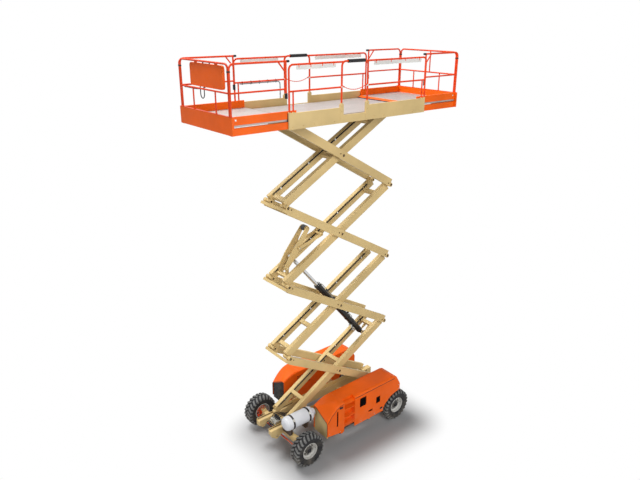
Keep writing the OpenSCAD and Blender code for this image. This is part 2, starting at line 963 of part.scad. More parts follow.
// eye of an entry chain, ending square to the chain
module chain_eye(y, t) {
    d = chain_dir(t) / norm(chain_dir(t)) * (t < 0.5 ? -1 : 1);
    p = chain_at(t);
    l = chain_gap / abs(d[0]);
    bar([p[0], y, p[1]], [p[0] + d[0] * l, y, p[1] + d[1] * l], chain_r + 3);
}

module guard_rails() {
    color("#d9601a")
        both() {
            guard_section(entry_x0, deck_x0 + guard_radius);
            guard_section(entry_x1, deck_x1 - guard_radius);
            hoop(entry_x0, entry_x1, guard_y, socket_top, main_rail + 10, guard_radius, rail_turn);
            chain_eye(guard_y, 0);
            chain_eye(guard_y, 1);
        }
}

// foam sleeves on the arches over the entries
module entry_pads() {
    color("#1c1c1c")
        both()
            difference() {
                bar_x(entry_x0 + 150, entry_x1 - rail_turn, guard_y, main_rail + 10, guard_radius + 14);
                bar_x(entry_x0 + 149, entry_x1, guard_y, main_rail + 10, guard_radius + fit);
            }
}

// chain hanging across an entry
chain_gap = 62;
chain_x0 = entry_x0 + chain_gap;
chain_x1 = entry_x1 - chain_gap;
chain_sag = 63;
chain_r = 9;
chain_sides = 8;
chain_steps = 16;
function chain_at(t) = [chain_x0 + (chain_x1 - chain_x0) * t, main_mid - chain_sag * 4 * t * (1 - t)];
function chain_dir(t) = [chain_x1 - chain_x0, -chain_sag * 4 * (1 - 2 * t)];
function chain_ring(t, y) = let (d = chain_dir(t) / norm(chain_dir(t)))
    [for (i = [0 : chain_sides - 1]) let (a = 360 * i / chain_sides)
        [chain_at(t)[0] - d[1] * chain_r * cos(a), y + chain_r * sin(a), chain_at(t)[1] + d[0] * chain_r * cos(a)]];

module chain(y) {
    pts = [for (k = [0 : chain_steps]) each chain_ring(k / chain_steps, y)];
    n = chain_sides;
    last = chain_steps * n;
    polyhedron(pts, concat(
        [[for (i = [0 : n - 1]) n - 1 - i]],
        [for (k = [0 : chain_steps - 1]) for (i = [0 : n - 1])
            [k * n + (i + 1) % n, (k + 1) * n + (i + 1) % n, (k + 1) * n + i, k * n + i]],
        [[for (i = [0 : n - 1]) last + i]]));
}

module left_chain() {
    color("#d9601a")
        chain(-guard_y);
}

module right_chain() {
    color("#d9601a")
        chain(guard_y);
}

// deck extension drawn toward +X from the edge of the main deck
module ext_frame(reach, tail) {
    block([reach - ext_wall, -side_y, panel_z + 7], [reach, side_y, panel_z + 327]);
    both() {
        block([-tail, beam_y + 12, panel_z + fit], [reach - 10, side_y - panel_wall - 12, panel_z + 130]);
        block([-200, ext_y - 10, panel_z + 182], [reach - 10, side_y - panel_wall - 10, panel_z + 327]);
    }
    // lip that ramps from the main deck to the extended one
    slab(-ext_y - 15, ext_y + 15)
        polygon([[-290, panel_z + 147], [-200, panel_z + 147], [-200, panel_z + 182], [-290, panel_z + 151]]);
}

module ext_deck(reach) {
    block([-200, -ext_y - 15, panel_z + 147], [reach - ext_wall, ext_y + 15, panel_z + 182]);
}

// rails of an extension: a hoop across its end and a hanging rail along each side
module ext_rails(reach, lone_post) {
    end_x = reach - 20;
    r = guard_radius - 1;
    y = ext_y + 10;
    y_end = y - 2 * r - 4;
    foot = panel_z + 327;
    both() {
        bar_x(-50, end_x - rail_turn, y, guard_z, r);
        rail_bend(end_x - rail_turn, y, guard_z - rail_turn, rail_turn, r, true, true);
        upright(end_x, y, foot, guard_z - rail_turn, r);
        bar_x(15, end_x, y, ext_mid, r - 2);
        upright(15, y, deck_z + 408, guard_z, r - 1);
        bar([185, y, guard_z], [15, y, guard_z - 200], r - 4);
        upright(end_x, 400, foot, ext_mid, r - 4);
    }
    translate([end_x, 0, 0])
        rotate([0, 0, 90]) {
            hoop(-y_end, y_end, 0, foot, guard_z, r, rail_turn);
            bar_x(-y_end, y_end, 0, ext_mid, r - 2);
        }
    if (lone_post)
        upright(end_x, -90, ext_mid, guard_z, r - 4);
}

module front_place() {
    translate([deck_x0, 0, 0])
        mirror([1, 0, 0])
            children();
}

module rear_place() {
    translate([deck_x1, 0, 0])
        children();
}

module front_ext_frame() {
    color("#d9601a")
        front_place()
            ext_frame(ext_reach + 30, 640);
}

module front_ext_deck() {
    color("#b9b6c4")
        front_place()
            ext_deck(ext_reach + 30);
}

module front_ext_rails() {
    color("#d9601a")
        front_place()
            ext_rails(ext_reach + 30, false);
}

module rear_ext_frame() {
    color("#d9601a")
        rear_place()
            ext_frame(ext_reach - 84, 640);
}

module rear_ext_deck() {
    color("#b9b6c4")
        rear_place()
            ext_deck(ext_reach - 84);
}

module rear_ext_rails() {
    color("#d9601a")
        rear_place()
            ext_rails(ext_reach - 84, true);
}

// flat plate with rounded corners
module rounded(w, h, r) {
    translate([r, 0])
        square([w - 2 * r, h]);
    translate([0, r])
        square([w, h - 2 * r]);
    for (x = [r, w - r])
        for (y = [r, h - r])
            translate([x, y])
                circle(r);
}

module control_box() {
    back = ext_reach + 10 - guard_radius + 1 - fit;
    color("#d9601a")
        front_place() {
            translate([back - 50, -640, deck_z + 614])
                rotate([90, 0, 90])
                    linear_extrude(50)
                        rounded(1160, 405, 60);
            // hangers against the top rail
            for (y = [-420, 300])
                block([back - 24, y - 35, deck_z + 1000], [back, y + 35, guard_z + 10]);
        }
}

// cable clipped under the middle rail and led down to the panel
cable_r = 11;
cable_z = main_mid - guard_radius - cable_r - fit;
cable_turn = 60;

module control_cable() {
    color("#8f9296") {
        bar_x(deck_x0 + 150, entry_x0 - 125 - cable_turn, guard_y, cable_z, cable_r);
        rail_bend(entry_x0 - 125 - cable_turn, guard_y, cable_z - cable_turn, cable_turn, cable_r, true, true);
        upright(entry_x0 - 125, guard_y, post_z, cable_z - cable_turn, cable_r);
    }
}

chassis_frame();
cross_beams();
front_axle();
rear_axle();
left_tray();
right_tray();
left_wall();
right_wall();
engine_block();
oil_tank();
gas_bottle();
bottle_cradle();
left_hood();
right_hood();
left_knuckle();
right_knuckle();
tie_rod();
tyre_fl();
tyre_fr();
tyre_rl();
tyre_rr();
rim_fl();
rim_fr();
rim_rl();
rim_rr();
outer_arm_1();
inner_arm_1();
inner_arm_2();
outer_arm_2();
outer_arm_3();
inner_arm_3();
inner_arm_4();
outer_arm_4();
lift_barrel();
lift_rod();
lift_lever();
lever_link();
platform_frame();
main_deck();
guard_rails();
entry_pads();
left_chain();
right_chain();
front_ext_frame();
front_ext_deck();
front_ext_rails();
control_box();
control_cable();
rear_ext_frame();
rear_ext_deck();
rear_ext_rails();
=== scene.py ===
"""Looks of a rough-terrain scissor lift: finishes, small fittings, floor, lights and camera."""

import json
import math

import bpy
import numpy as np
from bpy.props import FloatProperty, FloatVectorProperty, PointerProperty
from mathutils import Matrix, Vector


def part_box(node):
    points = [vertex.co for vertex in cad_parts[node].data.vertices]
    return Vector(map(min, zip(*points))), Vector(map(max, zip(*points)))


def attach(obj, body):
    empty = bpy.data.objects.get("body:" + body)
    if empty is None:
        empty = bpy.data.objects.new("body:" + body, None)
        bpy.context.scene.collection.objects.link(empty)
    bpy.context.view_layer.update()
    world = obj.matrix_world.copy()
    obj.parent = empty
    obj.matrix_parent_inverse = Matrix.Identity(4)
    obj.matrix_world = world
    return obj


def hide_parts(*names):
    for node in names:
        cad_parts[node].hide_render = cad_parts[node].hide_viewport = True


bl_info = {
    "name": "Scissor Lift Looks",
    "version": (1, 0, 0),
    "blender": (4, 2, 0),
    "location": "View3D > Sidebar > Lift",
    "description": "Finishes, fittings and stage of a rough-terrain scissor lift",
    "category": "Object",
}

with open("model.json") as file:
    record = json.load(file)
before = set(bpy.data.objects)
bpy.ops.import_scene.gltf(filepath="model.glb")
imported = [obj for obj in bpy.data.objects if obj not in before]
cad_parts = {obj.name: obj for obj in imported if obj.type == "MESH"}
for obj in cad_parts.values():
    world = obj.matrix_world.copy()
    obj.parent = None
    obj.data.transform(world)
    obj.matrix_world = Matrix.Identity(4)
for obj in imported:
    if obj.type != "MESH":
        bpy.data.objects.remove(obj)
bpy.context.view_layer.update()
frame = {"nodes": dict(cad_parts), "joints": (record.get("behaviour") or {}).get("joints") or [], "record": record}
JOINTS = {joint["name"]: joint for joint in frame["joints"]}
X, Y, Z = np.eye(3)


def pin(joint):
    """Place of a joint's axis, from the frame."""
    return np.array(JOINTS[joint]["pos_m"], float)


def corners(node):
    """Low and high corner of a node, from the frame, to a hundredth of a millimetre."""
    return np.round(np.array(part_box(node), float), 5)


def colour(name, text, value):
    """A colour property with its label, description and default."""
    return FloatVectorProperty(name=name, description=text, default=value, subtype="COLOR", size=3,
                               min=0, max=1)


def length(name, text, value):
    """A length property in metres."""
    return FloatProperty(name=name, description=text, default=value, min=0, unit="LENGTH", precision=4)


def heading(name, text, degrees):
    """An angle property, given in degrees."""
    return FloatProperty(name=name, description=text, default=math.radians(degrees), subtype="ANGLE")


def power(name, text, watts):
    """A light's power."""
    return FloatProperty(name=name, description=text, default=watts, min=0, unit="POWER")


class LiftColours(bpy.types.PropertyGroup):
    """Base colours of the finishes."""

    cream: colour("Cream", "Paint of the arms, frame and platform sides", (0.65, 0.480, 0.218))
    orange: colour("Orange", "Paint of the covers and extensions", (0.86, 0.122, 0.004))
    rail: colour("Rail", "Paint of the guard rails", (0.74, 0.056, 0.006))
    red: colour("Red", "Paint of the steering parts", (0.60, 0.060, 0.012))
    black: colour("Black", "Paint of the lift barrel", (0.012, 0.012, 0.013))
    chrome: colour("Chrome", "Polished lift rod", (0.62, 0.63, 0.64))
    deck: colour("Deck", "Tread plate of the decks", (0.365, 0.325, 0.305))
    rubber: colour("Rubber", "Tyres, pads and hoses", (0.016, 0.016, 0.018))
    # Painted highlight: the lug tops are painted much paler than the rubber for the light on them, besides their
    # wear.
    lug: colour("Lug", "Worn tops of the tyre lugs", (0.250, 0.250, 0.242))
    rim: colour("Rim", "Paint of the wheel rims", (0.58, 0.57, 0.54))
    # Painted shade: the rims' dished middles are painted dark for the shade that falls in them.
    dish: colour("Dish", "Dark middle of the wheel rims", (0.06, 0.06, 0.062))
    bottle: colour("Bottle", "Paint of the gas bottle", (0.66, 0.67, 0.70))
    iron: colour("Iron", "Bare and dark iron", (0.10, 0.055, 0.035))
    white: colour("White", "Blank strips under the top rails", (0.70, 0.69, 0.66))
    nylon: colour("Nylon", "Slide pads", (0.05, 0.05, 0.052))
    zinc: colour("Zinc", "Plated bolts and fittings", (0.46, 0.45, 0.41))
    cable: colour("Cable", "Sheath of the control cable", (0.25, 0.27, 0.29))
    dust: colour("Dust", "Dust that settles on low parts", (0.46, 0.40, 0.31))
    # Painted shade: the floor is grey only in a patch round the lift, which darkens its shadow side.
    floor: colour("Floor", "Studio floor near the lift", (0.36, 0.36, 0.365))


class LiftStage(bpy.types.PropertyGroup):
    """Camera and lights of the studio."""

    azimuth: heading("Azimuth", "Heading of the view", 39.294)
    pitch: heading("Pitch", "Dip of the view", 21.48)
    roll: heading("Roll", "Roll of the view", 0.266)
    eye: FloatVectorProperty(name="Eye", description="Place of the camera", size=3, subtype="TRANSLATION",
                             default=(-8.411, -9.9654, 9.7907))
    lens: FloatProperty(name="Lens", description="Focal length in millimetres", default=33.979, min=1)
    shift: FloatVectorProperty(name="Shift", description="Lens shift", default=(-0.0005, 0.0191), size=2)
    key: power("Key", "Power of the overhead light", 4000.0)
    front: power("Front", "Power of the high front light", 1420.0)
    low: power("Low", "Power of the low front light", 900.0)
    fill: power("Fill", "Power of the left light", 750.0)
    sky: FloatProperty(name="Sky", description="Strength of the even light", default=0.18, min=0)


class LiftSizes(bpy.types.PropertyGroup):
    """Sizes of the small fittings."""

    nut: length("Nut", "Width of a wheel nut across its flats", 0.030)
    strip: length("Strip", "Height of the blank strips under the top rails", 0.070)
    hose: length("Hose", "Diameter of the hoses on the arms and of the lift pipe", 0.019)
    bead: length("Bead", "Width of the weld beads on the arms", 0.011)


class Sock:
    """An output of a node, with arithmetic made of Math nodes."""

    def __init__(self, tree, out):
        self.tree = tree
        self.out = out

    def do(self, operation, *others, clamp=False):
        """One Math node on this value and the others."""
        return self.tree.node("ShaderNodeMath", inputs=(self, *others), operation=operation, use_clamp=clamp)

    def __add__(self, o):
        return self.do("ADD", o)

    __radd__ = __add__

    def __mul__(self, o):
        return self.do("MULTIPLY", o)

    __rmul__ = __mul__

    def __sub__(self, o):
        return self.do("SUBTRACT", o)

    def __rsub__(self, o):
        return self.do("MULTIPLY", -1.0).do("ADD", o)

    def above(self, low, high):
        """0 below low, 1 above high, smooth between."""
        return self.tree.node("ShaderNodeMapRange", interpolation_type="SMOOTHSTEP",
                              inputs={"Value": self, "From Min": low, "From Max": high})


class Tree:
    """Nodes of one material or world, built on the shader that it starts with."""

    def __init__(self, owner, shader="Principled BSDF"):
        owner.use_nodes = True
        self.owner = owner
        self.tree = owner.node_tree
        self.shader = self.tree.nodes[shader]

    def node(self, kind, inputs=(), out=0, **settings):
        """Any node: its settings, its inputs by order or name, and one of its outputs."""
        made = self.tree.nodes.new(kind)
        for key, value in settings.items():
            setattr(made, key, value)
        pairs = inputs.items() if isinstance(inputs, dict) else enumerate(inputs)
        for key, value in pairs:
            self.put(made.inputs[key], value)
        return Sock(self, made.outputs[out])

    def put(self, socket, value):
        """Links a Sock to a socket, or sets it to a constant."""
        if isinstance(value, Sock):
            self.tree.links.new(value.out, socket)
        elif isinstance(value, tuple) and len(value) == 3 and socket.type == "RGBA":
            socket.default_value = (*value, 1.0)
        else:
            socket.default_value = value

    def set(self, **values):
        """Inputs of the first shader; underscores stand for spaces."""
        for key, value in values.items():
            self.put(self.shader.inputs[key.replace("_", " ")], value)

    def point(self):
        """Place on the object, in the row frame."""
        return self.node("ShaderNodeTexCoord", out="Object")

    def split(self, vector, axis):
        """One coordinate of a vector."""
        return self.node("ShaderNodeSeparateXYZ", inputs=(vector,), out=axis)

    def scaled(self, vector, scale):
        """A vector stretched along each axis."""
        return self.node("ShaderNodeVectorMath", inputs={0: vector, 1: scale}, operation="MULTIPLY")

    def noise(self, vector, scale, detail=4.0, rough=0.55):
        """Fractal noise from 0 to 1."""
        return self.node("ShaderNodeTexNoise",
                         inputs={"Vector": vector, "Scale": scale, "Detail": detail, "Roughness": rough})

    def mix(self, factor, a, b):
        """Colour a turning to b."""
        return self.node("ShaderNodeMix", inputs={0: factor, 6: a, 7: b}, out=2, data_type="RGBA")

    def bump(self, height, strength, distance):
        """A bumped normal on the shader."""
        inputs = {"Height": height, "Strength": strength, "Distance": distance}
        self.set(Normal=self.node("ShaderNodeBump", inputs=inputs))

    def backdrop(self):
        """1 for the rays that show the backdrop: straight from the camera, mirrored or let through."""
        kinds = ("Is Camera Ray", "Is Glossy Ray", "Is Transmission Ray")
        direct, glossy, through = [self.node("ShaderNodeLightPath", out=kind) for kind in kinds]
        return (direct + glossy).do("ADD", through, clamp=True)

    def turn_white(self, factor, kind, output):
        """Ends in the first shader turning to a white one of a kind."""
        white = self.node(kind, inputs={"Color": (1.0, 1.0, 1.0), "Strength": 1.0})
        both = self.node("ShaderNodeMixShader", inputs=(factor, Sock(self, self.shader.outputs[0]), white))
        self.tree.links.new(both.out, self.tree.nodes[output].inputs["Surface"])


def material(name):
    """Nodes of a new material."""
    return Tree(bpy.data.materials.new("lift_" + name))


def toned(base, gain, lift=0.0):
    """A colour made lighter or darker, at most 1."""
    return tuple(min(1.0, c * gain + lift) for c in base)


def dusted(t, point, base, low, high, amount):
    """Base colour with dust that thickens toward the floor and in patches."""
    fade = 1.0 - t.split(point, "Z").above(low, high)
    patch = t.noise(point, scale=6.0, detail=5.0).above(0.35, 0.75)
    return t.mix(fade * patch * amount, base, tuple(bpy.context.scene.lift_colours.dust))


def paint(name, base, rough=0.5, coat=0.1, wear=0.5, dirty=0.45, second=None, where=None):
    """Sprayed paint: slow tone drift, fine peel, rubbed spots, streaks and dust near the floor.

    A second colour takes over where a mask says; the rims and trays use it for painted shade.
    """
    t = material(name)
    p = t.point()
    drift = t.noise(p, scale=1.1, detail=3.0).above(0.3, 0.7)
    tone = t.mix(drift, toned(base, 0.90), toned(base, 1.07))
    rub = t.noise(p, scale=38.0, detail=8.0, rough=0.7).above(0.66, 0.74)
    rub = rub * t.noise(p, scale=2.2, detail=2.0).above(0.5, 0.7)
    tone = t.mix(rub * wear, tone, toned(base, 0.45, 0.05))
    streak = t.noise(t.scaled(p, (9.0, 9.0, 0.9)), scale=1.0, detail=4.0).above(0.58, 0.80)
    tone = t.mix(streak * (0.22 * wear), tone, toned(base, 0.6))
    if where:
        tone = t.mix(where(t, p), tone, second)
    t.set(Base_Color=dusted(t, p, tone, 0.25, 1.25, dirty), Specular_IOR_Level=0.14)
    t.set(Roughness=t.noise(p, scale=14.0) * 0.18 + (rough - 0.09) + rub * 0.2)
    t.set(Coat_Weight=coat, Coat_Roughness=0.12)
    t.bump(t.noise(p, scale=420.0, detail=2.0), strength=0.05, distance=0.001)
    return t.owner


def metal(name, base, rough=0.16, streak=(4.0, 4.0, 90.0)):
    """Bright drawn metal with fine streaks and faint oil marks."""
    t = material(name)
    p = t.point()
    fine = t.noise(t.scaled(p, streak), scale=6.0, detail=3.0)
    mark = t.noise(p, scale=5.0, detail=5.0).above(0.52, 0.72)
    t.set(Base_Color=t.mix(mark * 0.35, base, toned(base, 0.62)), Metallic=1.0)
    t.set(Roughness=fine * 0.14 + mark * 0.10 + (rough - 0.06))
    return t.owner


def rubber(name, base, dirty=0.0, lugs=None, shine=0.25):
    """Worn rubber, paler on rubbed parts and dusty low down; lug tops take their own paler colour, a painted
    highlight for the light on them as well as wear.
    """
    t = material(name)
    p = t.point()
    scuff = t.noise(p, scale=24.0, detail=6.0, rough=0.65).above(0.45, 0.75)
    tone = t.mix(scuff * 0.6, base, toned(base, 1.9, 0.012))
    if lugs:
        # Painted highlight and wear: the lug tops turn to their paler colour.
        worn = t.node("ShaderNodeAttribute", out="Fac", attribute_name="worn")
        tone = t.mix(worn * (scuff * 0.5 + 0.5), tone, lugs)
    t.set(Base_Color=dusted(t, p, tone, 0.0, 0.85, dirty), Specular_IOR_Level=shine)
    t.set(Roughness=t.noise(p, scale=60.0, detail=3.0) * 0.2 + 0.62)
    t.bump(t.noise(p, scale=180.0), strength=0.15, distance=0.002)
    return t.owner


def tread_plate(name, base, per_metre=26.0):
    """Pale deck plate with raised slanted bars in two directions and scuffed lanes."""
    t = material(name)
    p = t.point()
    x, y = t.split(p, "X") * per_metre, t.split(p, "Y") * per_metre
    cell = (x + y).do("FLOOR").do("MODULO", 2.0).do("ABSOLUTE")
    u = (x + y).do("FRACT") - 0.5
    v = (x - y).do("FRACT") - 0.5
    one = u * u * 26.0 + v * v * 5.0
    two = u * u * 5.0 + v * v * 26.0
    raised = 1.0 - (one + (two - one) * cell).above(0.55, 0.95)
    lane = t.noise(t.scaled(p, (0.7, 2.4, 1.0)), scale=1.6, detail=5.0).above(0.42, 0.72)
    tone = t.mix(lane * 0.22, base, toned(base, 0.66))
    t.set(Base_Color=t.mix(raised * 0.35, tone, toned(base, 1.25)), Metallic=0.35)
    t.set(Roughness=0.52 - raised * 0.16 + lane * 0.12)
    t.bump(raised, strength=0.5, distance=0.003)
    return t.owner


def cast(name, base):
    """Rough cast iron with oil-dark patches."""
    t = material(name)
    p = t.point()
    oil = t.noise(p, scale=3.5, detail=6.0).above(0.45, 0.7)
    t.set(Base_Color=t.mix(oil * 0.7, base, toned(base, 0.4)), Roughness=0.75 - oil * 0.35, Metallic=0.3)
    t.bump(t.noise(p, scale=150.0, detail=5.0), strength=0.4, distance=0.003)
    return t.owner


def dish(t, p):
    """Mask of the painted shade in a rim's dished middle: 1 near the axle of any of the four wheels."""
    hub = pin("wheel_rr_roll")
    x = t.split(p, "X").do("ABSOLUTE") - float(hub[0])
    z = t.split(p, "Z") - float(hub[2])
    return 1.0 - (x * x + z * z).do("SQRT").above(0.128, 0.172)


def behind(t, p):
    """Mask of the painted shade on the trays: the whole right tray and the left one away from the left bulkhead,
    black for the shade inside the covers.
    """
    return t.split(p, "X").above(-0.84, -0.81).do("MAXIMUM", t.split(p, "Y").above(0.0, 0.1))


FINISH = {}
OTHER = {"guard_rails": "rail_paint", "front_ext_rails": "rail_paint", "rear_ext_rails": "rail_paint",
         "left_tray": "tray", "right_tray": "tray", "lever_link": "cream_paint"}


def finishes(scene):
    """The materials by name, made once."""
    if not FINISH:
        c = {name: tuple(getattr(scene.lift_colours, name)) for name in LiftColours.__annotations__}
        FINISH.update(
            cream_paint=paint("cream", c["cream"], coat=0.08, dirty=0.25),
            orange_paint=paint("orange", c["orange"], rough=0.48, coat=0.05, dirty=0.14),
            rail_paint=paint("rail", c["rail"], rough=0.46),
            red_paint=paint("red", c["red"], dirty=0.5),
            black_paint=paint("black", c["black"], rough=0.34, coat=0.3, dirty=0.2),
            chrome=metal("chrome", c["chrome"]),
            zinc=metal("zinc", c["zinc"], rough=0.34, streak=(30.0, 30.0, 30.0)),
            deck=tread_plate("deck", c["deck"]),
            # Painted shade: the trays turn black away from the left bulkhead, for the shade inside the covers.
            tray=paint("tray", c["cream"], coat=0.08, second=c["black"], where=behind),
            tyre=rubber("tyre", c["rubber"], dirty=0.25, lugs=c["lug"]),
            # The rim paint turns dark in the dished middle: painted shade.
            rim=paint("rim", c["rim"], rough=0.42, coat=0.15, dirty=0.3, second=c["dish"], where=dish),
            engine=cast("engine", c["iron"]),
            dark_steel=paint("dark", toned(c["iron"], 0.5), coat=0.05, dirty=0.3),
            bottle=paint("bottle", c["bottle"], rough=0.36, coat=0.2, dirty=0.15),
            foam=rubber("foam", c["rubber"]),
            # Painted shade: near-black plates without shine behind the cover windows stand for the dark inside of
            # the covers.
            liner=rubber("liner", toned(c["rubber"], 0.25), shine=0.0),
            nylon=rubber("nylon", c["nylon"]),
            cable=rubber("cable", c["cable"]),
            white=paint("white", c["white"], rough=0.55, coat=0.0, wear=0.7, dirty=0.0),
            chain=paint("chain", c["rail"], rough=0.4, dirty=0.0),
        )
    return FINISH


class LIFT_OT_finishes(bpy.types.Operator):
    """Give every CAD piece its procedural finish"""

    bl_idname = "lift.finishes"
    bl_label = "Finishes"

    def execute(self, context):
        made = finishes(context.scene)
        slots = {s["node"]: s["material_slot"] for s in frame["record"]["subparts"]}
        for name, obj in frame["nodes"].items():
            obj.data.materials.clear()
            obj.data.materials.append(made[OTHER.get(name, slots[name])])
        return {"FINISHED"}


def grid(rows, closed=False):
    """Faces of a grid of points whose second index runs round; open ends are capped."""
    n, m = rows.shape[:2]
    i, j = np.meshgrid(np.arange(n if closed else n - 1), np.arange(m), indexing="ij")
    k, l = (i + 1) % n, (j + 1) % m
    quads = np.stack((i * m + j, k * m + j, k * m + l, i * m + l), -1).reshape(-1, 4).tolist()
    if not closed:
        quads += [list(range(m)), list(range(n * m - 1, n * m - m - 1, -1))]
    return rows.reshape(-1, 3), quads


def sweep(path, profile, closed=False):
    """Skin of a profile carried along a path.

    Each row of points is path(i) + u(i) * profile_x + v(i) * profile_y, where u and v are square to the
    path and are turned from one point to the next without twist. Open ends are capped.
    """
    path = np.asarray(path, float)
    profile = np.asarray(profile, float)
    ahead = np.roll(path, -1, 0) - np.roll(path, 1, 0)
    if not closed:
        ahead[0], ahead[-1] = path[1] - path[0], path[-1] - path[-2]
    ahead /= np.linalg.norm(ahead, axis=1)[:, None]
    u = np.cross(ahead[0], Z if abs(ahead[0][2]) < 0.9 else Y)
    across = []
    for t in ahead:
        u = u - t * (u @ t)
        u /= np.linalg.norm(u)
        across.append(u)
    across = np.array(across)
    upward = np.cross(ahead, across)
    rows = path[:, None] + across[:, None] * profile[None, :, :1] + upward[:, None] * profile[None, :, 1:]
    return grid(rows, closed)


def ring(radius, count, phase=0.0):
    """Round profile: radius times the cosine and sine of evenly spaced angles."""
    a = np.arange(count) / count * 2 * np.pi + phase
    return np.column_stack((np.cos(a), np.sin(a))) * radius


def placed(outline, at, u, v):
    """Points of a flat outline in the plane of u and v through a point."""
    return np.asarray(at, float) + outline[:, :1] * u + outline[:, 1:] * v


def lathe(profile, at, axis, count):
    """Profile of (radius, height) turned about an axis w through a point.

    Its points are at + radius * (u * cos a + v * sin a) + height * w, with u and v square to w.
    """
    profile = np.asarray(profile, float)
    w = np.asarray(axis, float)
    w = w / np.linalg.norm(w)
    u = np.cross(w, Z if abs(w[2]) < 0.9 else X)
    u /= np.linalg.norm(u)
    spoke = placed(ring(1.0, count), (0, 0, 0), u, np.cross(w, u))
    return grid(np.asarray(at, float) + profile[:, None, :1] * spoke[None] + profile[:, None, 1:] * w)


def hollow(profile, at, axis, count):
    """Profile turned about an axis and closed on itself, its last ring joined to its first."""
    rows, faces = lathe(profile, at, axis, count)
    last = (len(profile) - 1) * count
    j = np.arange(count)
    l = (j + 1) % count
    return rows, faces[:-2] + np.stack((last + j, j, l, last + l), -1).tolist()


def collar(at, axis, inner, outer, width):
    """Short sleeve with eased edges round a tube."""
    e = min(0.003, width / 5)
    h = width / 2
    profile = [(inner, -h), (outer - e, -h), (outer, -h + e), (outer, h - e), (outer - e, h), (inner, h)]
    return hollow(profile, at, axis, 20)


def plate(outline, thick, at, u, v, bevel=0.002):
    """Flat outline in the plane of u and v, thickened along u x v, with its edges eased."""
    u, v = np.asarray(u, float), np.asarray(v, float)
    w = np.cross(u, v)
    toward = outline.mean(0) - outline
    inset = outline + toward / np.linalg.norm(toward, axis=1)[:, None] * bevel
    levels = ((inset, 0.0), (outline, bevel), (outline, thick - bevel), (inset, thick))
    return grid(np.array([placed(edge, at, u, v) + w * height for edge, height in levels]))


def rounded(w, h, r, steps=5):
    """Outline of a rectangle about the origin with round corners."""
    out = []
    for k, (sx, sy) in enumerate(((1, 1), (-1, 1), (-1, -1), (1, -1))):
        a = np.pi / 2 * (k + np.arange(steps + 1) / steps)
        out.append(np.column_stack((sx * (w / 2 - r) + r * np.cos(a), sy * (h / 2 - r) + r * np.sin(a))))
    return np.concatenate(out)


def bar(wide, high):
    """Outline of a rectangle about the origin."""
    return np.array(((-wide, -high), (wide, -high), (wide, high), (-wide, high))) / 2


def smooth_path(points, steps):
    """Curve through the points (Catmull-Rom)."""
    p = np.asarray(points, float)
    p = np.vstack((2 * p[0] - p[1], p, 2 * p[-1] - p[-2]))
    t = np.linspace(0, 1, steps, endpoint=False)[:, None]
    out = []
    for a, b, c, d in zip(p, p[1:], p[2:], p[3:]):
        square, cube = 2 * a - 5 * b + 4 * c - d, 3 * b - a - 3 * c + d
        out.append(0.5 * (2 * b + (c - a) * t + square * t ** 2 + cube * t ** 3))
    return np.vstack(out + [p[-2:-1]])


def tube(path, radius, count):
    """Round tube along a path."""
    return sweep(path, ring(radius, count))


def hose(points, radius, count=10, steps=6):
    """Round hose along a smooth curve through the points."""
    return tube(smooth_path(points, steps), radius, count)


def bolt(at, axis, width):
    """Hexagon head on a washer, standing on a point."""
    r = width / 2
    head = [(r, 0), (r, r * 0.96), (r * 0.72, r * 1.2), (0.001, r * 1.2)]
    washer = [(r * 1.4, -0.002), (r * 1.4, r * 0.26), (r * 1.25, r * 0.34), (0.001, r * 0.34)]
    return [lathe(head, at, axis, 6), lathe(washer, at, axis, 10)]


def bolts(points, axis, width):
    """Bolts on many points."""
    return [shape for p in points for shape in bolt(p, axis, width)]


def mirrored(shape):
    """A shape on the other side of the middle plane, its faces turned outward again."""
    return shape[0] * (1, -1, 1), [f[::-1] for f in shape[1]]


def sides(shapes):
    """The shapes and their mirror images."""
    return list(shapes) + [mirrored(s) for s in shapes]


def outward(shape):
    """A closed shape with its faces turned outward: its signed volume comes out above zero."""
    v, faces = shape
    c = v - v.mean(0)
    fans = np.array([(f[0], f[i], f[i + 1]) for f in faces for i in range(1, len(f) - 1)])
    a, b, d = c[fans[:, 0]], c[fans[:, 1]], c[fans[:, 2]]
    volume = float((np.cross(b, d) * a).sum())
    return shape if volume > 0 else (v, [f[::-1] for f in faces])


def piece(name, body, finish, shapes, crease=38.0, worn=None):
    """One object made of the shapes, riding on a body with a finish; worn marks its points from 0 to 1, where the
    lug tops get their painted highlight and wear.
    """
    verts, faces, base = [], [], 0
    for v, f in map(outward, shapes):
        verts.append(v)
        faces += [[i + base for i in q] for q in f]
        base += len(v)
    mesh = bpy.data.meshes.new(name)
    mesh.from_pydata(np.concatenate(verts).tolist(), [], faces)
    mesh.update()
    mesh.shade_smooth()
    mesh.set_sharp_from_angle(angle=math.radians(crease))
    mesh.materials.append(finishes(bpy.context.scene)[finish])
    if worn is not None:
        marks = mesh.attributes.new("worn", "FLOAT", "POINT")
        marks.data.foreach_set("value", np.ravel(worn).astype(np.float32))
    obj = bpy.data.objects.new(name, mesh)
    bpy.context.scene.collection.objects.link(obj)
    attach(obj, body)
    return obj


# Scissor stack: length between an arm's pins and its tilt at rest, from the frame's pins
PIVOT = pin("lift")
FIRST_ARM = pin("inner_2_turn") - PIVOT
ARM = float(np.linalg.norm(FIRST_ARM))
TILT = math.atan2(FIRST_ARM[2], -FIRST_ARM[0])
STAGE = ARM * math.sin(TILT)
SLIDE_X = PIVOT[0] - ARM * math.cos(TILT)
BOX_OFFSET = 0.040

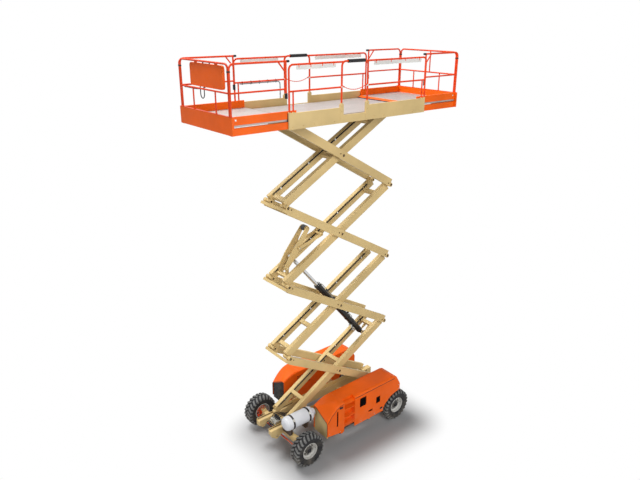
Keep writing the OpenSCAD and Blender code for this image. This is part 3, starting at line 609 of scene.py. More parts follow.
# Platform: heights from the frame or above the deck, then the middles of its rails and panels
DECK = corners("main_deck")[1, 2]
EXT_DECK = corners("front_ext_deck")[1, 2]
EXT_SILL = corners("front_ext_frame")[1, 2]
PANEL_TOP = corners("guard_rails")[0, 2]
SOCKET_TOP = corners("platform_frame")[1, 2]
TOP_RAIL, MAIN_RAIL, MAIN_MID = DECK + 1.060, DECK + 1.000, DECK + 0.535
GUARD_Y, SIDE_Y, EXT_Y, EXT_POST_Y = 0.933, 0.948, 0.890, 0.850
ENTRY = (-0.505, 0.175)
CHAIN_HOOK = 0.062
DECK_X = corners("main_deck")[:, 0]
EXTENSIONS = (("ext_front", DECK_X[0], -1), ("ext_rear", DECK_X[1], 1))
EXT_END = corners("rear_ext_frame")[1, 0]
EXT_POST_X = EXT_END - 0.020
STATION = corners("control_box")
STATION_X = -2.932

# Covers: outer skin, front edge and the crest where the front starts to fall
COVER_SIDE, COVER_FRONT = corners("right_hood")[1, 1], corners("right_hood")[0, 0]
COVER_CREST = -0.43
CREST_EDGE, FALL_RUN = 1.297, 0.333
COVER_LINE = np.array(((COVER_FRONT, 1.18), (-0.785, 1.25), (-0.62, 1.305), (COVER_CREST, 1.32),
                       (1.24, 1.34), (1.335, 1.31), (1.475, 1.06)))

# Tyre: radius, half width, rise and spread of a lug, from the bead to the middle groove
TYRE_HALF = np.array((
    (0.2055, 0.1000, 0, 0), (0.2065, 0.1130, 0, 0), (0.2120, 0.1240, 0, 0), (0.2260, 0.1305, 0, 0),
    (0.2360, 0.1335, 0, 0), (0.2390, 0.1370, 0, 0), (0.2460, 0.1385, 0, 0), (0.2520, 0.1375, 0, 0),
    (0.2560, 0.1375, 0, 0), (0.2750, 0.1425, 0, 0), (0.2980, 0.1455, 0, 0), (0.3160, 0.1462, 0, 0),
    (0.3240, 0.1460, 0.0010, 0.0020), (0.3290, 0.1450, 0.0030, 0.0055), (0.3400, 0.1405, 0.0060, 0.0075),
    (0.3520, 0.1345, 0.0110, 0.0085), (0.3640, 0.1280, 0.0180, 0.0085), (0.3715, 0.1220, 0.0225, 0.0070),
    (0.3730, 0.1130, 0.0235, 0.0020), (0.3755, 0.0900, 0.0235, 0), (0.3785, 0.0600, 0.0235, 0),
    (0.3815, 0.0340, 0.0235, 0), (0.3828, 0.0190, 0.0235, 0), (0.3834, 0.0155, 0.0200, 0),
    (0.3838, 0.0110, 0.0010, 0), (0.3840, 0.0080, 0, 0), (0.3840, 0.0020, 0, 0)))
LUGS, LUG_LEAN = 24, 9.0
LUG_EDGE, LUG_HEIGHT = (0.224, 0.238, 0.264, 0.276), (1, 0.95, 0.05, 0)
LUG_WIDTH = (0.009, 0.122)
LUG_STEPS = (0.0, 0.12, 0.20, 0.222, 0.236, 0.262, 0.276, 0.38,
             0.5, 0.62, 0.724, 0.738, 0.764, 0.778, 0.80, 0.88)


class LIFT_OT_chains(bpy.types.Operator):
    """Make the chains that hang across both entries"""

    bl_idname = "lift.chains"
    bl_label = "Chains"
    links, steps, sag = 23, 33, 0.063
    wire, bend = 0.0043, 0.0046

    def execute(self, context):
        for name, y in (("left", -GUARD_Y), ("right", GUARD_Y)):
            t = np.linspace(0, 1, self.steps)
            x = np.linspace(ENTRY[0] + CHAIN_HOOK, ENTRY[1] - CHAIN_HOOK, self.steps)
            path = np.column_stack((x, np.full(self.steps, y), MAIN_MID - 4 * self.sag * t * (1 - t)))
            run = np.concatenate(((0,), np.cumsum(np.linalg.norm(np.diff(path, axis=0), axis=1))))
            ends = np.linspace(0, run[-1], 2 * self.links + 1)
            spots = np.column_stack([np.interp(ends, run, path[:, i]) for i in range(3)])
            half = run[-1] / self.links / 2 + 0.0035
            links = []
            for k in range(self.links):
                start, mid, end = spots[2 * k:2 * k + 3]
                ahead = (end - start) / np.linalg.norm(end - start)
                wide = Y if k % 2 else np.cross(ahead, Y)
                links.append(self.link(mid, ahead, wide, half))
            chain = piece(name + "_chain_links", "platform", "chain", links)
            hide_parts(name + "_chain")
        return {"FINISHED"}

    def link(self, mid, ahead, wide, half):
        """Wire bent to a long ring: two straight sides with half-circle ends."""
        bend = ring(self.bend, 12)
        bend[:, 0] += np.sign(np.cos(np.arange(12) / 12 * 2 * np.pi)) * (half - self.bend)
        return sweep(placed(bend, mid, ahead, wide), ring(self.wire, 6), closed=True)


class LIFT_OT_lead(bpy.types.Operator):
    """Make the loop of lead that hangs under the control station"""

    bl_idname = "lift.lead"
    bl_label = "Hanging lead"
    middle, half, top, bend, drop = 0.135, 0.070, DECK + 0.6176, DECK + 0.4856, 0.082

    def execute(self, context):
        a = np.linspace(0, np.pi, 15)
        straight = np.linspace(self.top, self.bend, 8)[:-1]
        level = np.full(len(straight), self.half)
        y = self.middle + np.concatenate((level, self.half * np.cos(a), -level))
        z = np.concatenate((straight, self.bend - self.drop * np.sin(a), straight[::-1]))
        path = np.column_stack((np.full(len(y), STATION_X), y, z))
        loop = piece("hanging_lead", "ext_front", "foam", [tube(path, 0.009, 10)])
        return {"FINISHED"}


class LIFT_OT_wheels(bpy.types.Operator):
    """Make the lugged tyres, wheel nuts, hub caps, rim edges and valves"""

    bl_idname = "lift.wheels"
    bl_label = "Wheels"
    nuts, nut_ring, nut_face = 8, 0.112, 0.0465
    cap = ((0.058, 0.083), (0.058, 0.092), (0.052, 0.099), (0.036, 0.103), (0.034, 0.100), (0.001, 0.100))
    rim_edge = ((0.1905, 0.1175), (0.1935, 0.1225), (0.2005, 0.1225), (0.2045, 0.1175))

    def execute(self, context):
        for name in ("fl", "fr", "rl", "rr"):
            body = "wheel_" + name
            hub = pin(body + "_roll")
            out = Y * np.sign(hub[1])
            # The mask of the lug tops carries their painted highlight and wear.
            shape, worn = self.tyre(hub)
            tread = piece("tread_" + name, body, "tyre", [shape], 30, worn)
            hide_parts("tyre_" + name)
            spots = placed(ring(self.nut_ring, self.nuts, 0.2), hub + out * self.nut_face, X, Z)
            piece("nuts_" + name, body, "zinc", bolts(spots, out, context.scene.lift_sizes.nut))
            piece("cap_" + name, body, "foam", [lathe(self.cap, hub, out, 32)])
            piece("rim_edge_" + name, body, "rim", [hollow(self.rim_edge, hub, out, 64)])
            stem = hub + X * 0.172 + out * 0.052
            valve = [stem, stem + out * 0.022 + X * 0.001, stem + out * 0.040 + X * 0.006]
            piece("valve_" + name, body, "foam", [tube(valve, 0.0045, 8)])
        return {"FINISHED"}

    def tyre(self, hub):
        """Section of the tyre turned about the axle, its lugs raised by a mask of angle and width.

        A point lies at the section's radius + mask * rise and its width + mask * spread. Columns lean by a
        skew that grows from the middle groove to the shoulder, so lug flanks follow the grid. The lugs of
        one half stand between those of the other.
        """
        radius, width, rise, spread = np.vstack((TYRE_HALF, TYRE_HALF[::-1] * (1, -1, 1, -1))).T
        turn = (np.arange(LUGS)[:, None] + LUG_STEPS).reshape(-1, 1)
        flank = np.interp(np.abs(turn % 1 - 0.5), LUG_EDGE, LUG_HEIGHT)
        raised = np.where(width > 0, flank, 1 - flank)
        r = radius + raised * rise
        skew = np.interp(np.abs(width), LUG_WIDTH, (0, LUG_LEAN))
        a = np.radians(turn * 360 / LUGS + skew)
        rows = hub + np.stack((r * np.cos(a), width + raised * spread, r * np.sin(a)), -1)
        return grid(rows, True), raised * (rise > 0.003)


class LIFT_OT_rail_trim(bpy.types.Operator):
    """Make the caps, grips, strips, feet, hooks and clips of the guard rails"""

    bl_idname = "lift.rail_trim"
    bl_label = "Rail trim"
    tip = ((0.0205, -0.055), (0.0215, -0.052), (0.0215, 0.004), (0.017, 0.010), (0.001, 0.011))
    grip = ((0.019, 0), (0.0255, 0.002), (0.0265, 0.008), (0.0265, 0.093), (0.0255, 0.099), (0.0175, 0.101))
    ext_foot = ((0.019, 0.004), (0.0245, 0.004), (0.0205, 0.0115), (0.0178, 0.012))
    socket = ((0.0285, -0.001), (0.0285, 0.018), (0.0235, 0.024), (0.018, 0.0245))
    post, grip_low, clamp_drop, clamp_y = 0.0178, DECK + 0.4076, 0.125, 0.870

    def execute(self, context):
        for body, x, s in EXTENSIONS:
            self.ext_caps(body, x, s)
            self.ext_feet(body, s)
            self.clamps(body, s)
        self.strips(context.scene.lift_sizes.strip)
        self.feet()
        self.panel_bolts()
        self.hooks()
        pads = [collar((x, GUARD_Y, MAIN_RAIL + 0.010), X, 0.0188, 0.0342, 0.010) for x in (-0.350, 0.080)]
        piece("pad_ends", "platform", "foam", sides(pads))
        self.cable_clips()
        return {"FINISHED"}

    def ext_caps(self, body, x, s):
        """Rubber tips of an extension's top rails and ridged grips on its last posts."""
        drop = x + s * 0.015
        tip = lathe(self.tip, (x - s * 0.05, EXT_Y, TOP_RAIL), X * -s, 20)
        grip = lathe(self.grip, (drop, EXT_Y, self.grip_low), Z, 20)
        heights = self.grip_low + np.linspace(0.014, 0.086, 6)
        ridges = [collar((drop, EXT_Y, z), Z, 0.0262, 0.0278, 0.006) for z in heights]
        piece("rail_caps_" + body, body, "foam", sides([tip, grip, *ridges]))

    def ext_feet(self, body, s):
        """Foot plates and weld cones of an extension's end posts."""
        feet = []
        for y, wide in ((EXT_Y, 0.075), (EXT_POST_Y, 0.075), (0.400, 0.060)):
            at = (s * EXT_POST_X, y, EXT_SILL)
            feet.append(plate(rounded(wide, 0.034, 0.006), 0.006, at, Y, -X, 0.0015))
            feet.append(lathe(self.ext_foot, at, Z, 18))
        piece("rail_feet_" + body, body, "rail_paint", sides(feet))

    def clamps(self, body, s):
        """Clamps that tie an extension's end rail to its side rails."""
        x, z = s * EXT_POST_X, TOP_RAIL - self.clamp_drop
        between = (x - s * 0.006, self.clamp_y, z)
        ties = [collar((x, y, z), Z, self.post, 0.0225, 0.026) for y in (EXT_Y, EXT_POST_Y)]
        ties += [plate(rounded(0.044, 0.020, 0.005), 0.012, between, Y, Z), *bolt(between, X * -s, 0.014)]
        piece("post_clamps_" + body, body, "dark_steel", sides(ties))

    def strips(self, high):
        """Blank strips under the main top rails and the straps that hold them."""
        strips, straps = [], []
        for x0, x1 in ((-1.60, -0.66), (0.33, 1.72)):
            at = ((x0 + x1) / 2, SIDE_Y - 0.012, MAIN_RAIL - 0.021 - high / 2)
            strips.append(plate(rounded(x1 - x0, high, 0.012), 0.003, at, -X, Z, 0.001))
            for x in np.linspace(x0 + 0.06, x1 - 0.06, 4):
                at = (x, SIDE_Y - 0.0118, MAIN_RAIL - 0.030)
                straps.append(collar((x, GUARD_Y, MAIN_RAIL), X, self.post, 0.0205, 0.018))
                straps.append(plate(rounded(0.018, 0.052, 0.003), 0.003, at, -X, Z, 0.001))
        piece("blank_strips", "platform", "white", sides(strips))
        piece("strip_straps", "platform", "rail_paint", sides(straps))

    def feet(self):
        """Weld collars of the main posts and sockets of the entry arches."""
        feet = []
        for end, s in zip(DECK_X, (1, -1)):
            for inset, r in ((0.019, 0.018), (0.109, 0.015)):
                cone = ((r + 0.0095, -0.001), (r + 0.0095, 0.014), (r + 0.005, 0.018), (r - 0.001, 0.0185))
                feet.append(lathe(cone, (end + s * inset, GUARD_Y, PANEL_TOP), Z, 20))
        feet += [lathe(self.socket, (x, GUARD_Y, SOCKET_TOP), Z, 20) for x in ENTRY]
        piece("rail_feet", "platform", "cream_paint", sides(feet))

    def panel_bolts(self):
        """Bolts of the entry sockets and along the lower edge of the side panels."""
        pins = bolts([(x, SIDE_Y + 0.004, DECK + z) for x in ENTRY for z in (0.0736, 0.1736)], Y, 0.024)
        row = np.concatenate((np.linspace(-1.70, -0.68, 5), np.linspace(0.36, 1.82, 6)))
        pins += bolts([(x, SIDE_Y, DECK - 0.1044) for x in row], Y, 0.020)
        piece("panel_bolts", "platform", "cream_paint", sides(pins))

    def hooks(self):
        """Sleeves on the entry posts and the oval rings that hold the chains."""
        eyes = []
        for x, s in zip(ENTRY, (1, -1)):
            eyes.append(collar((x, GUARD_Y, MAIN_MID), Z, self.post, 0.0235, 0.030))
            oval = placed(ring(0.010, 14), (x + s * CHAIN_HOOK, GUARD_Y, MAIN_MID), X * 1.5, Z)
            eyes.append(sweep(oval, ring(0.0034, 8), closed=True))
        piece("chain_hooks", "platform", "zinc", sides(eyes))

    def cable_clips(self):
        """Oval bands that hold the control cable to the mid rail, and two sleeves on its drop."""
        clips = []
        for x in np.linspace(-1.58, -0.74, 5):
            loop = placed(ring(1.0, 16), (x, GUARD_Y, MAIN_MID - 0.0129), Z * 0.0335, Y * 0.0215)
            clips.append(sweep(loop, bar(0.0024, 0.010), closed=True))
        heights = DECK + np.array((0.2436, 0.3836))
        clips += [collar((-0.630, GUARD_Y, z), Z, 0.0108, 0.0135, 0.012) for z in heights]
        piece("cable_clips", "platform", "foam", clips)


class LIFT_OT_controls(bpy.types.Operator):
    """Make the console, lever, switches, grip and lead of the control station"""

    bl_idname = "lift.controls"
    bl_label = "Control station"
    middle = np.array((STATION[1, 0] - 0.0008, STATION[:, 1].mean(), DECK + 0.8436))
    deep, lead_x, lead_z = 0.115, -2.9465, DECK + 0.5546
    outlet = np.array((-2.85, middle[1], DECK + 0.7441))
    lever = ((0.030, 0), (0.032, 0.006), (0.026, 0.014), (0.020, 0.020), (0.024, 0.026), (0.017, 0.032),
             (0.009, 0.038), (0.0085, 0.075), (0.013, 0.082), (0.0165, 0.095), (0.0165, 0.125),
             (0.012, 0.136), (0.001, 0.139))
    switch = ((0.011, 0), (0.011, 0.008), (0.008, 0.011), (0.001, 0.0115))
    stop = ((0.014, 0), (0.014, 0.010), (0.021, 0.014), (0.022, 0.022), (0.017, 0.028), (0.001, 0.030))
    gland = ((0.014, 0), (0.014, 0.014), (0.010, 0.020), (0.0075, 0.030))

    def execute(self, context):
        body = "ext_front"
        face = self.middle + X * (self.deep - 0.001)
        panel = face + X * 0.0055
        case = plate(rounded(0.36, 0.20, 0.03), self.deep, self.middle, Y, Z, 0.010)
        piece("console", body, "dark_steel", [case])
        piece("console_face", body, "foam", [plate(rounded(0.30, 0.14, 0.015), 0.006, face, Y, Z, 0.002)])
        stick = lathe(self.lever, face + (0.005, -0.07, 0), X * 0.93 + Z * 0.37, 20)
        piece("console_lever", body, "foam", [stick])
        spots = [panel + (0, y, z) for y in (0.05, 0.09, 0.13) for z in (-0.025, 0.025)]
        switches = [lathe(self.switch, at, X, 14) for at in spots]
        piece("console_switches", body, "zinc", switches)
        piece("console_stop", body, "red_paint", [lathe(self.stop, panel + (0, -0.13, 0.03), X, 20)])
        rise = ((-0.115, 0.170), (-0.115, 0.192), (-0.090, 0.206), (0, 0.210))
        yz = self.middle[1:] + (rise + tuple((-y, z) for y, z in rise[2::-1]))
        handle = hose([(STATION_X, *p) for p in yz], 0.012, 12)
        piece("console_grip", body, "foam", [handle])
        spots = [(STATION_X - 0.001, y, TOP_RAIL - 0.0214) for y in (-0.42, 0.30)]
        piece("station_bolts", body, "zinc", bolts(spots, X, 0.016))
        way = [self.outlet + step for step in ((0, 0, 0.0045), (0, 0, -0.0405), (-0.015, 0.04, -0.1005),
                                               (-0.055, 0.14, -0.1455), (-0.085, 0.26, -0.1785))]
        way += [(self.lead_x, y, self.lead_z) for y in (0.36, 0.60, 0.79)]
        clips = [collar((self.lead_x, y, self.lead_z), Y, 0.007, 0.0105, 0.012) for y in (0.40, 0.58, 0.76)]
        piece("station_lead", body, "foam", [hose(way, 0.0075), *clips])
        piece("station_gland", body, "foam", [lathe(self.gland, self.outlet, -Z, 16)])
        return {"FINISHED"}


def cover_fall(x):
    """Slope of a cover's front: it grows evenly from nothing at the crest."""
    return (COVER_CREST - x) / FALL_RUN


def cover_top(x, y):
    """Height of a cover's outer skin: the lowest of its side view and its sloping corner planes."""
    d = np.abs(y) - COVER_SIDE
    along = 0.012 * (x - COVER_CREST)
    z = np.interp(x, COVER_LINE[:, 0], COVER_LINE[:, 1])
    z = np.minimum(z, np.minimum(CREST_EDGE + along - 0.5 * d, CREST_EDGE - 0.023 + along - 2 * d))
    for at in (-0.860, -0.720, -0.560):
        fall = cover_fall(at)
        plane = CREST_EDGE - FALL_RUN * fall ** 2 / 2 + fall * (x - at)
        z = np.minimum(z, np.minimum(plane - (0.08 + 0.36 * fall) * d, plane - 0.026 - 1.5 * d))
    return z


def cover_skin(count=48):
    """Smooth skin over the curved front of a cover.

    Height is edge(x) - lean(x) * d with the edge falling as a parabola toward the front, eased into the
    side view's top line and rounded down at the outer side; d is the distance past that side, below zero
    inward. The top line is the side view's, smoothed by a running mean.
    """
    x = np.linspace(-0.929, -0.405, count)[:, None]
    d = -0.49 * np.linspace(1, 0, count)[None] ** 1.6
    fall = np.maximum(cover_fall(x), 0)
    z = CREST_EDGE - FALL_RUN * fall ** 2 / 2 - (0.08 + 0.36 * fall) * d
    fine = np.linspace(-1.05, -0.28, 155)
    knots = np.vstack(((-0.95, 1.165), COVER_LINE[:4], (-0.38, 1.321)))
    line = np.convolve(np.interp(fine, knots[:, 0], knots[:, 1]), np.ones(21) / 21, "same")
    cap = np.interp(x, fine, line)
    soft = 0.016
    z = (z + cap - np.sqrt((z - cap) ** 2 + soft ** 2)) / 2 + 0.006
    z = z - 0.030 * np.clip(1 + d / 0.034, 0, 1) ** 2
    rise = np.interp(x, (-0.93, -0.86, -0.47, -0.405), (0.006, 0.009, 0.007, -0.004))
    top = np.stack(np.broadcast_arrays(x, COVER_SIDE + d + 0.003, z + rise), -1)
    low = top[:, ::-1] - (0, 0.004, 0.022)
    return grid(np.concatenate((top, low), 1))


class LIFT_OT_covers(bpy.types.Operator):
    """Make the seams, seals, latches, bolts, front skins and window frames of the covers"""

    bl_idname = "lift.covers"
    bl_label = "Covers"
    windows = ((0.09, 0.93, 0.22, 0.26, 0.022), (0.64, 0.80, 0.15, 0.19, 0.016),
               (0.39, 0.66, 0.145, 0.06, 0.012), (-0.64, 0.71, 0.05, 0.43, 0.012))
    skin_crease = 60.0
    bolt_spots = ((-0.86, 0.62), (-0.52, 0.53), (-0.30, 0.53), (0.15, 0.53), (0.60, 0.53), (0.86, 0.56),
                  (1.42, 0.92), (1.42, 1.04))

    def execute(self, context):
        fixings = bolts([(x, COVER_SIDE, z) for x, z in self.bolt_spots], Y, 0.016)
        made = (("cover_seam_", "foam", self.seams()), ("cover_seal_", "foam", [self.seal()]),
                ("cover_latch_", "foam", self.latches()), ("cover_bolts_", "zinc", fixings),
                ("cover_skin_", "orange_paint", [cover_skin()], self.skin_crease),
                ("window_liners_", "liner", self.liners()), ("window_edges_", "orange_paint", self.frames()))
        for side in ("left", "right"):
            for name, finish, shapes, *crease in made:
                turned = [mirrored(s) for s in shapes] if side == "left" else shapes
                piece(name + side, "hood_" + side, finish, turned, *crease)
        return {"FINISHED"}

    def seams(self, count=40):
        """Dark lines just under the top edge, before and behind the steps."""
        lines = []
        for x0, x1 in ((-0.905, -0.415), (-0.055, 1.27)):
            x = np.linspace(x0, x1, count)
            z = cover_top(x, COVER_SIDE) - 0.016
            path = np.column_stack((x, np.full(count, COVER_SIDE + 0.0005), z))
            lines.append(sweep(path, bar(0.0044, 0.011)))
        return lines

    def seal(self):
        """Rubber edge up the front corner and over the top of the front."""
        x, side = COVER_FRONT - 0.003, 1.104
        y = np.linspace(1.100, 0.640, 36)
        over = np.column_stack((np.full(36, x), y, cover_top(COVER_FRONT, y) - 0.006))
        corner = cover_top(COVER_FRONT, side) - 0.008
        return tube(np.vstack((np.linspace((x, side, 0.575), (x, side, corner), 12), over)), 0.0075, 8)

    def latches(self):
        """Latch by the steps, its handle, and a lower latch."""
        spot = np.array((-0.505, COVER_SIDE, 1.195))
        low = np.array((0.83, COVER_SIDE, 0.60))
        return [plate(rounded(w, h, r), thick, at + Y * out, -X, Z, 0.003) for w, h, r, thick, at, out in (
            (0.105, 0.052, 0.018, 0.010, spot, -0.001), (0.060, 0.026, 0.010, 0.008, spot, 0.008),
            (0.090, 0.045, 0.016, 0.010, low, -0.001))]

    def frames(self):
        """Round edges of the windows, given by their lower corner, width, height and corner radius."""
        edges = []
        for x, z, w, h, r in self.windows:
            path = placed(rounded(w, h, r), (x + w / 2, COVER_SIDE - 0.001, z + h / 2), X, Z)
            edges.append(sweep(path, ring(0.0042, 6), closed=True))
        return edges

    def liners(self):
        """Dark plates behind the windows: painted shade for the dark inside of the covers."""
        return [plate(rounded(w, h, r), 0.006, (x, 1.092, z), -X, Z, 0.001)
                for w, h, r, x, z in ((0.86, 0.60, 0.02, 0.43, 0.92), (0.09, 0.47, 0.01, -0.615, 0.925))]


def on_arm(kind, k, s, up=0.0):
    """Point of an arm's side view: distance s along its pins from the lower one, raised by up."""
    c, n = math.cos(TILT), math.sin(TILT)
    flip, start = (-1, PIVOT[0]) if kind == "outer" else (1, SLIDE_X)
    return np.array((start + flip * (s * c - up * n), 0, PIVOT[2] + k * STAGE + s * n + up * c))


def on_box(k, s, up=0.0):
    """Point of an inner arm's box, whose middle runs from above its lower pin to below its upper one."""
    return on_arm("inner", k, s, BOX_OFFSET * (1 - 2 * s / ARM) + up)


class LIFT_OT_arms(bpy.types.Operator):
    """Make the pin keepers, pin ends, weld beads, hoses and hose clips of the arms"""

    bl_idname = "lift.arms"
    bl_label = "Arms"
    face, inside, box_side, cross_y, hose_y = 0.410, 0.186, 0.3005, 0.2005, 0.1895
    pin_end = ((0.0295, 0.010), (0.0295, 0.0125), (0.026, 0.015), (0.012, 0.015), (0.010, 0.012),
               (0.001, 0.012))
    pin_back = ((0.030, 0.001), (0.030, 0.006), (0.024, 0.010), (0.001, 0.010))
    crosses = ((0.18, 0.55), (0.058, 0.26), (0.190 / ARM, 0.9), (0.035, 0.463, 0.837))
    box_pins = ((ARM / 2, ARM), (0, ARM / 2, ARM), (0, ARM / 2, ARM), (0, ARM / 2))
    last_length = ARM / 2 + 1.56

    def execute(self, context):
        sizes = context.scene.lift_sizes
        for k in range(4):
            self.keepers(k)
        for k in range(4):
            self.beads(k, sizes.bead / 2)
            self.hoses(k, sizes.hose / 2)
        return {"FINISHED"}

    def keepers(self, k):
        """Rings and tags that keep an outer arm's pins, with the pins' ends and tag bolts."""
        along = on_arm("outer", k, 1.0) - on_arm("outer", k, 0.0)
        keep, ends = [], []
        for s in (0, ARM / 2, ARM) if k < 3 else (0, ARM / 2):
            way = along if s < ARM else -along
            at = on_arm("outer", k, s) + Y * self.face
            keep.append(collar(at + Y * 0.003, Y, 0.0298, 0.050, 0.008))
            ends.append(lathe(self.pin_end, at, Y, 20))
            tag = rounded(0.105, 0.034, 0.012)
            keep.append(plate(tag, 0.008, at + way * 0.062, way, np.cross(Y, way), 0.0015))
            ends += bolt(at + way * 0.098 + Y * 0.008, Y, 0.020)
            ends.append(lathe(self.pin_back, on_arm("outer", k, s) + Y * self.inside, -Y, 18))
        piece(f"keepers_outer_{k + 1}", f"outer_{k + 1}", "cream_paint", sides(keep))
        piece(f"pin_ends_outer_{k + 1}", f"outer_{k + 1}", "dark_steel", sides(ends))

    def box_axes(self):
        """Directions along and across an inner arm's box."""
        tilt = TILT - math.asin(2 * BOX_OFFSET / ARM)
        c, n = math.cos(tilt), math.sin(tilt)
        return np.array((c, 0, n)), np.array((-n, 0, c))

    def beads(self, k, bead):
        """Weld beads round the cross tubes of an inner arm and rings round its pin bosses."""
        rise = 0.044 if k == 0 else 0.0
        loop = rounded(0.0925, 0.0925, 0.003, 2)
        spots = [on_box(k, s * ARM, rise) + Y * self.cross_y for s in self.crosses[k]]
        made = [sweep(placed(loop, at, *self.box_axes()), ring(bead, 6), closed=True) for at in spots]
        made += [collar(on_arm("inner", k, s) + Y * (self.box_side + 0.0012), Y, 0.0430, 0.0485, 0.0026)
                 for s in self.box_pins[k]]
        piece(f"weld_beads_inner_{k + 1}", f"inner_{k + 1}", "cream_paint", sides(made))

    def hoses(self, k, radius):
        """A hose and a thinner line on the inner side of an inner arm's box, with their clips."""
        u, v = self.box_axes()
        size = ARM if k < 3 else self.last_length
        side = Y * self.hose_y
        run = [on_box(k, s, 0.066) + side for s in np.linspace(0.20, size - 0.20, 9)]
        dip = [on_box(k, s, up) + side for s, up in ((0.115, 0.058), (0.15, 0.064))]
        thin = hose([p - v * 0.0165 for p in run], 0.007, 8, 2)
        piece(f"arm_hose_{k + 1}", f"inner_{k + 1}", "foam", [hose(dip + run, radius, 10, 4), thin])
        spots = [on_box(k, s, 0.058) + side - Y * 0.013 for s in np.linspace(0.35, size - 0.35, 4)]
        clips = [plate(rounded(0.034, 0.048, 0.006), 0.005, at, -u, v, 0.001) for at in spots]
        piece(f"hose_clips_{k + 1}", f"inner_{k + 1}", "zinc", clips)


class LIFT_OT_cylinder(bpy.types.Operator):
    """Make the pipe, ports, clamps and gland of the lift cylinder and the pin caps and roller of its lever"""

    bl_idname = "lift.cylinder"
    bl_label = "Cylinder"
    pipe_out, port_out, lever_lean, lever_tip = 0.099, -0.110, math.radians(22), 0.977
    pipe = ((0.585, 0.072), (0.60, 0.092), (0.64, pipe_out), (0.80, pipe_out), (1.2, pipe_out),
            (1.95, pipe_out), (2.09, pipe_out), (2.15, 0.094), (2.165, 0.080))
    port = ((0.014, 0), (0.014, 0.012), (0.011, 0.014), (0.011, 0.024), (0.001, 0.024))
    relief = ((0.017, -0.004), (0.017, 0.016), (0.013, 0.018), (0.013, 0.034), (0.016, 0.036), (0.016, 0.046),
              (0.001, 0.047))
    gland = ((0.0455, 0.0), (0.080, 0.0), (0.0815, 0.004), (0.0815, 0.010), (0.074, 0.016), (0.054, 0.018),
             (0.0455, 0.015))
    base_end = ((0.038, 0), (0.038, 0.006), (0.030, 0.009), (0.001, 0.009))

    def execute(self, context):
        self.barrel(context.scene.lift_sizes.hose / 2)
        self.lever()
        return {"FINISHED"}

    def barrel(self, radius):
        """Pipe above the barrel, ports below it, the bolted gland and the ends of the base pin."""
        base = pin("barrel_turn")
        ahead = np.array(JOINTS["rod_slide"]["axis"], float)
        up = np.array((-ahead[2], 0, ahead[0])) * np.sign(ahead[0])

        def at(s, u=0.0, y=0.0):
            """Point at a distance s along the barrel from its base pin, u above it and y across."""
            return base + ahead * s + up * u + Y * y

        piece("lift_pipe", "barrel", "zinc", [hose([at(*p) for p in self.pipe], radius)])
        spots = [at(s - 0.013, self.pipe_out - 0.005) for s in (0.85, 1.10, 1.55, 1.90)]
        clamps = [plate(rounded(0.050, 0.040, 0.006), 0.026, spot, Y, up, 0.003) for spot in spots]
        piece("pipe_clamps", "barrel", "black_paint", clamps)
        across = Y * np.sign(np.cross(ahead, Y) @ up)
        below = at(0.30, self.port_out - 0.001)
        block = plate(rounded(0.10, 0.080, 0.006), 0.045, below, ahead, across, 0.004)
        piece("port_block", "barrel", "zinc", [block])
        ports = [lathe(self.port, at(0.28, self.port_out, y), -up, 6) for y in (-0.02, 0.02)]
        ports += [lathe(self.relief, at(0.46, -0.068, y), -up, 6) for y in (-0.034, 0.034)]
        piece("port_caps", "barrel", "zinc", ports)
        piece("gland_ring", "barrel", "black_paint", [hollow(self.gland, at(2.2345), ahead, 40)])
        piece("gland_bolts", "barrel", "zinc", bolts(placed(ring(0.066, 8), at(2.2505), up, Y), ahead, 0.012))
        ends = [lathe(self.base_end, at(0, 0, s * 0.0915), Y * s, 20) for s in (-1, 1)]
        piece("base_pin_ends", "barrel", "zinc", ends)

    def lever(self):
        """Roller at the lever's tip and caps on its pins."""
        caps, nuts = [], []
        hinge = pin("lever_turn")
        for p, r, y in ((hinge, 0.040, 0.149), (pin("link_turn"), 0.034, 0.142)):
            cap = ((r, -0.001), (r, 0.007), (r - 0.006, 0.011), (0.001, 0.011))
            caps.append(lathe(cap, p + Y * y, Y, 20))
            nuts += bolt(p + Y * (y + 0.0105), Y, 0.022)
        turn = TILT + self.lever_lean
        tip = hinge + np.array((math.cos(turn), 0, math.sin(turn))) * self.lever_tip
        rims = [collar(tip + Y * y, Y, 0.064, 0.0662, 0.012) for y in (-0.05, 0.05)]
        piece("lever_roller", "lever", "nylon", [collar(tip, Y, 0.0615, 0.0645, 0.138), *rims])
        piece("lever_pin_caps", "lever", "cream_paint", sides(caps))
        piece("lever_pin_bolts", "lever", "zinc", sides(nuts))


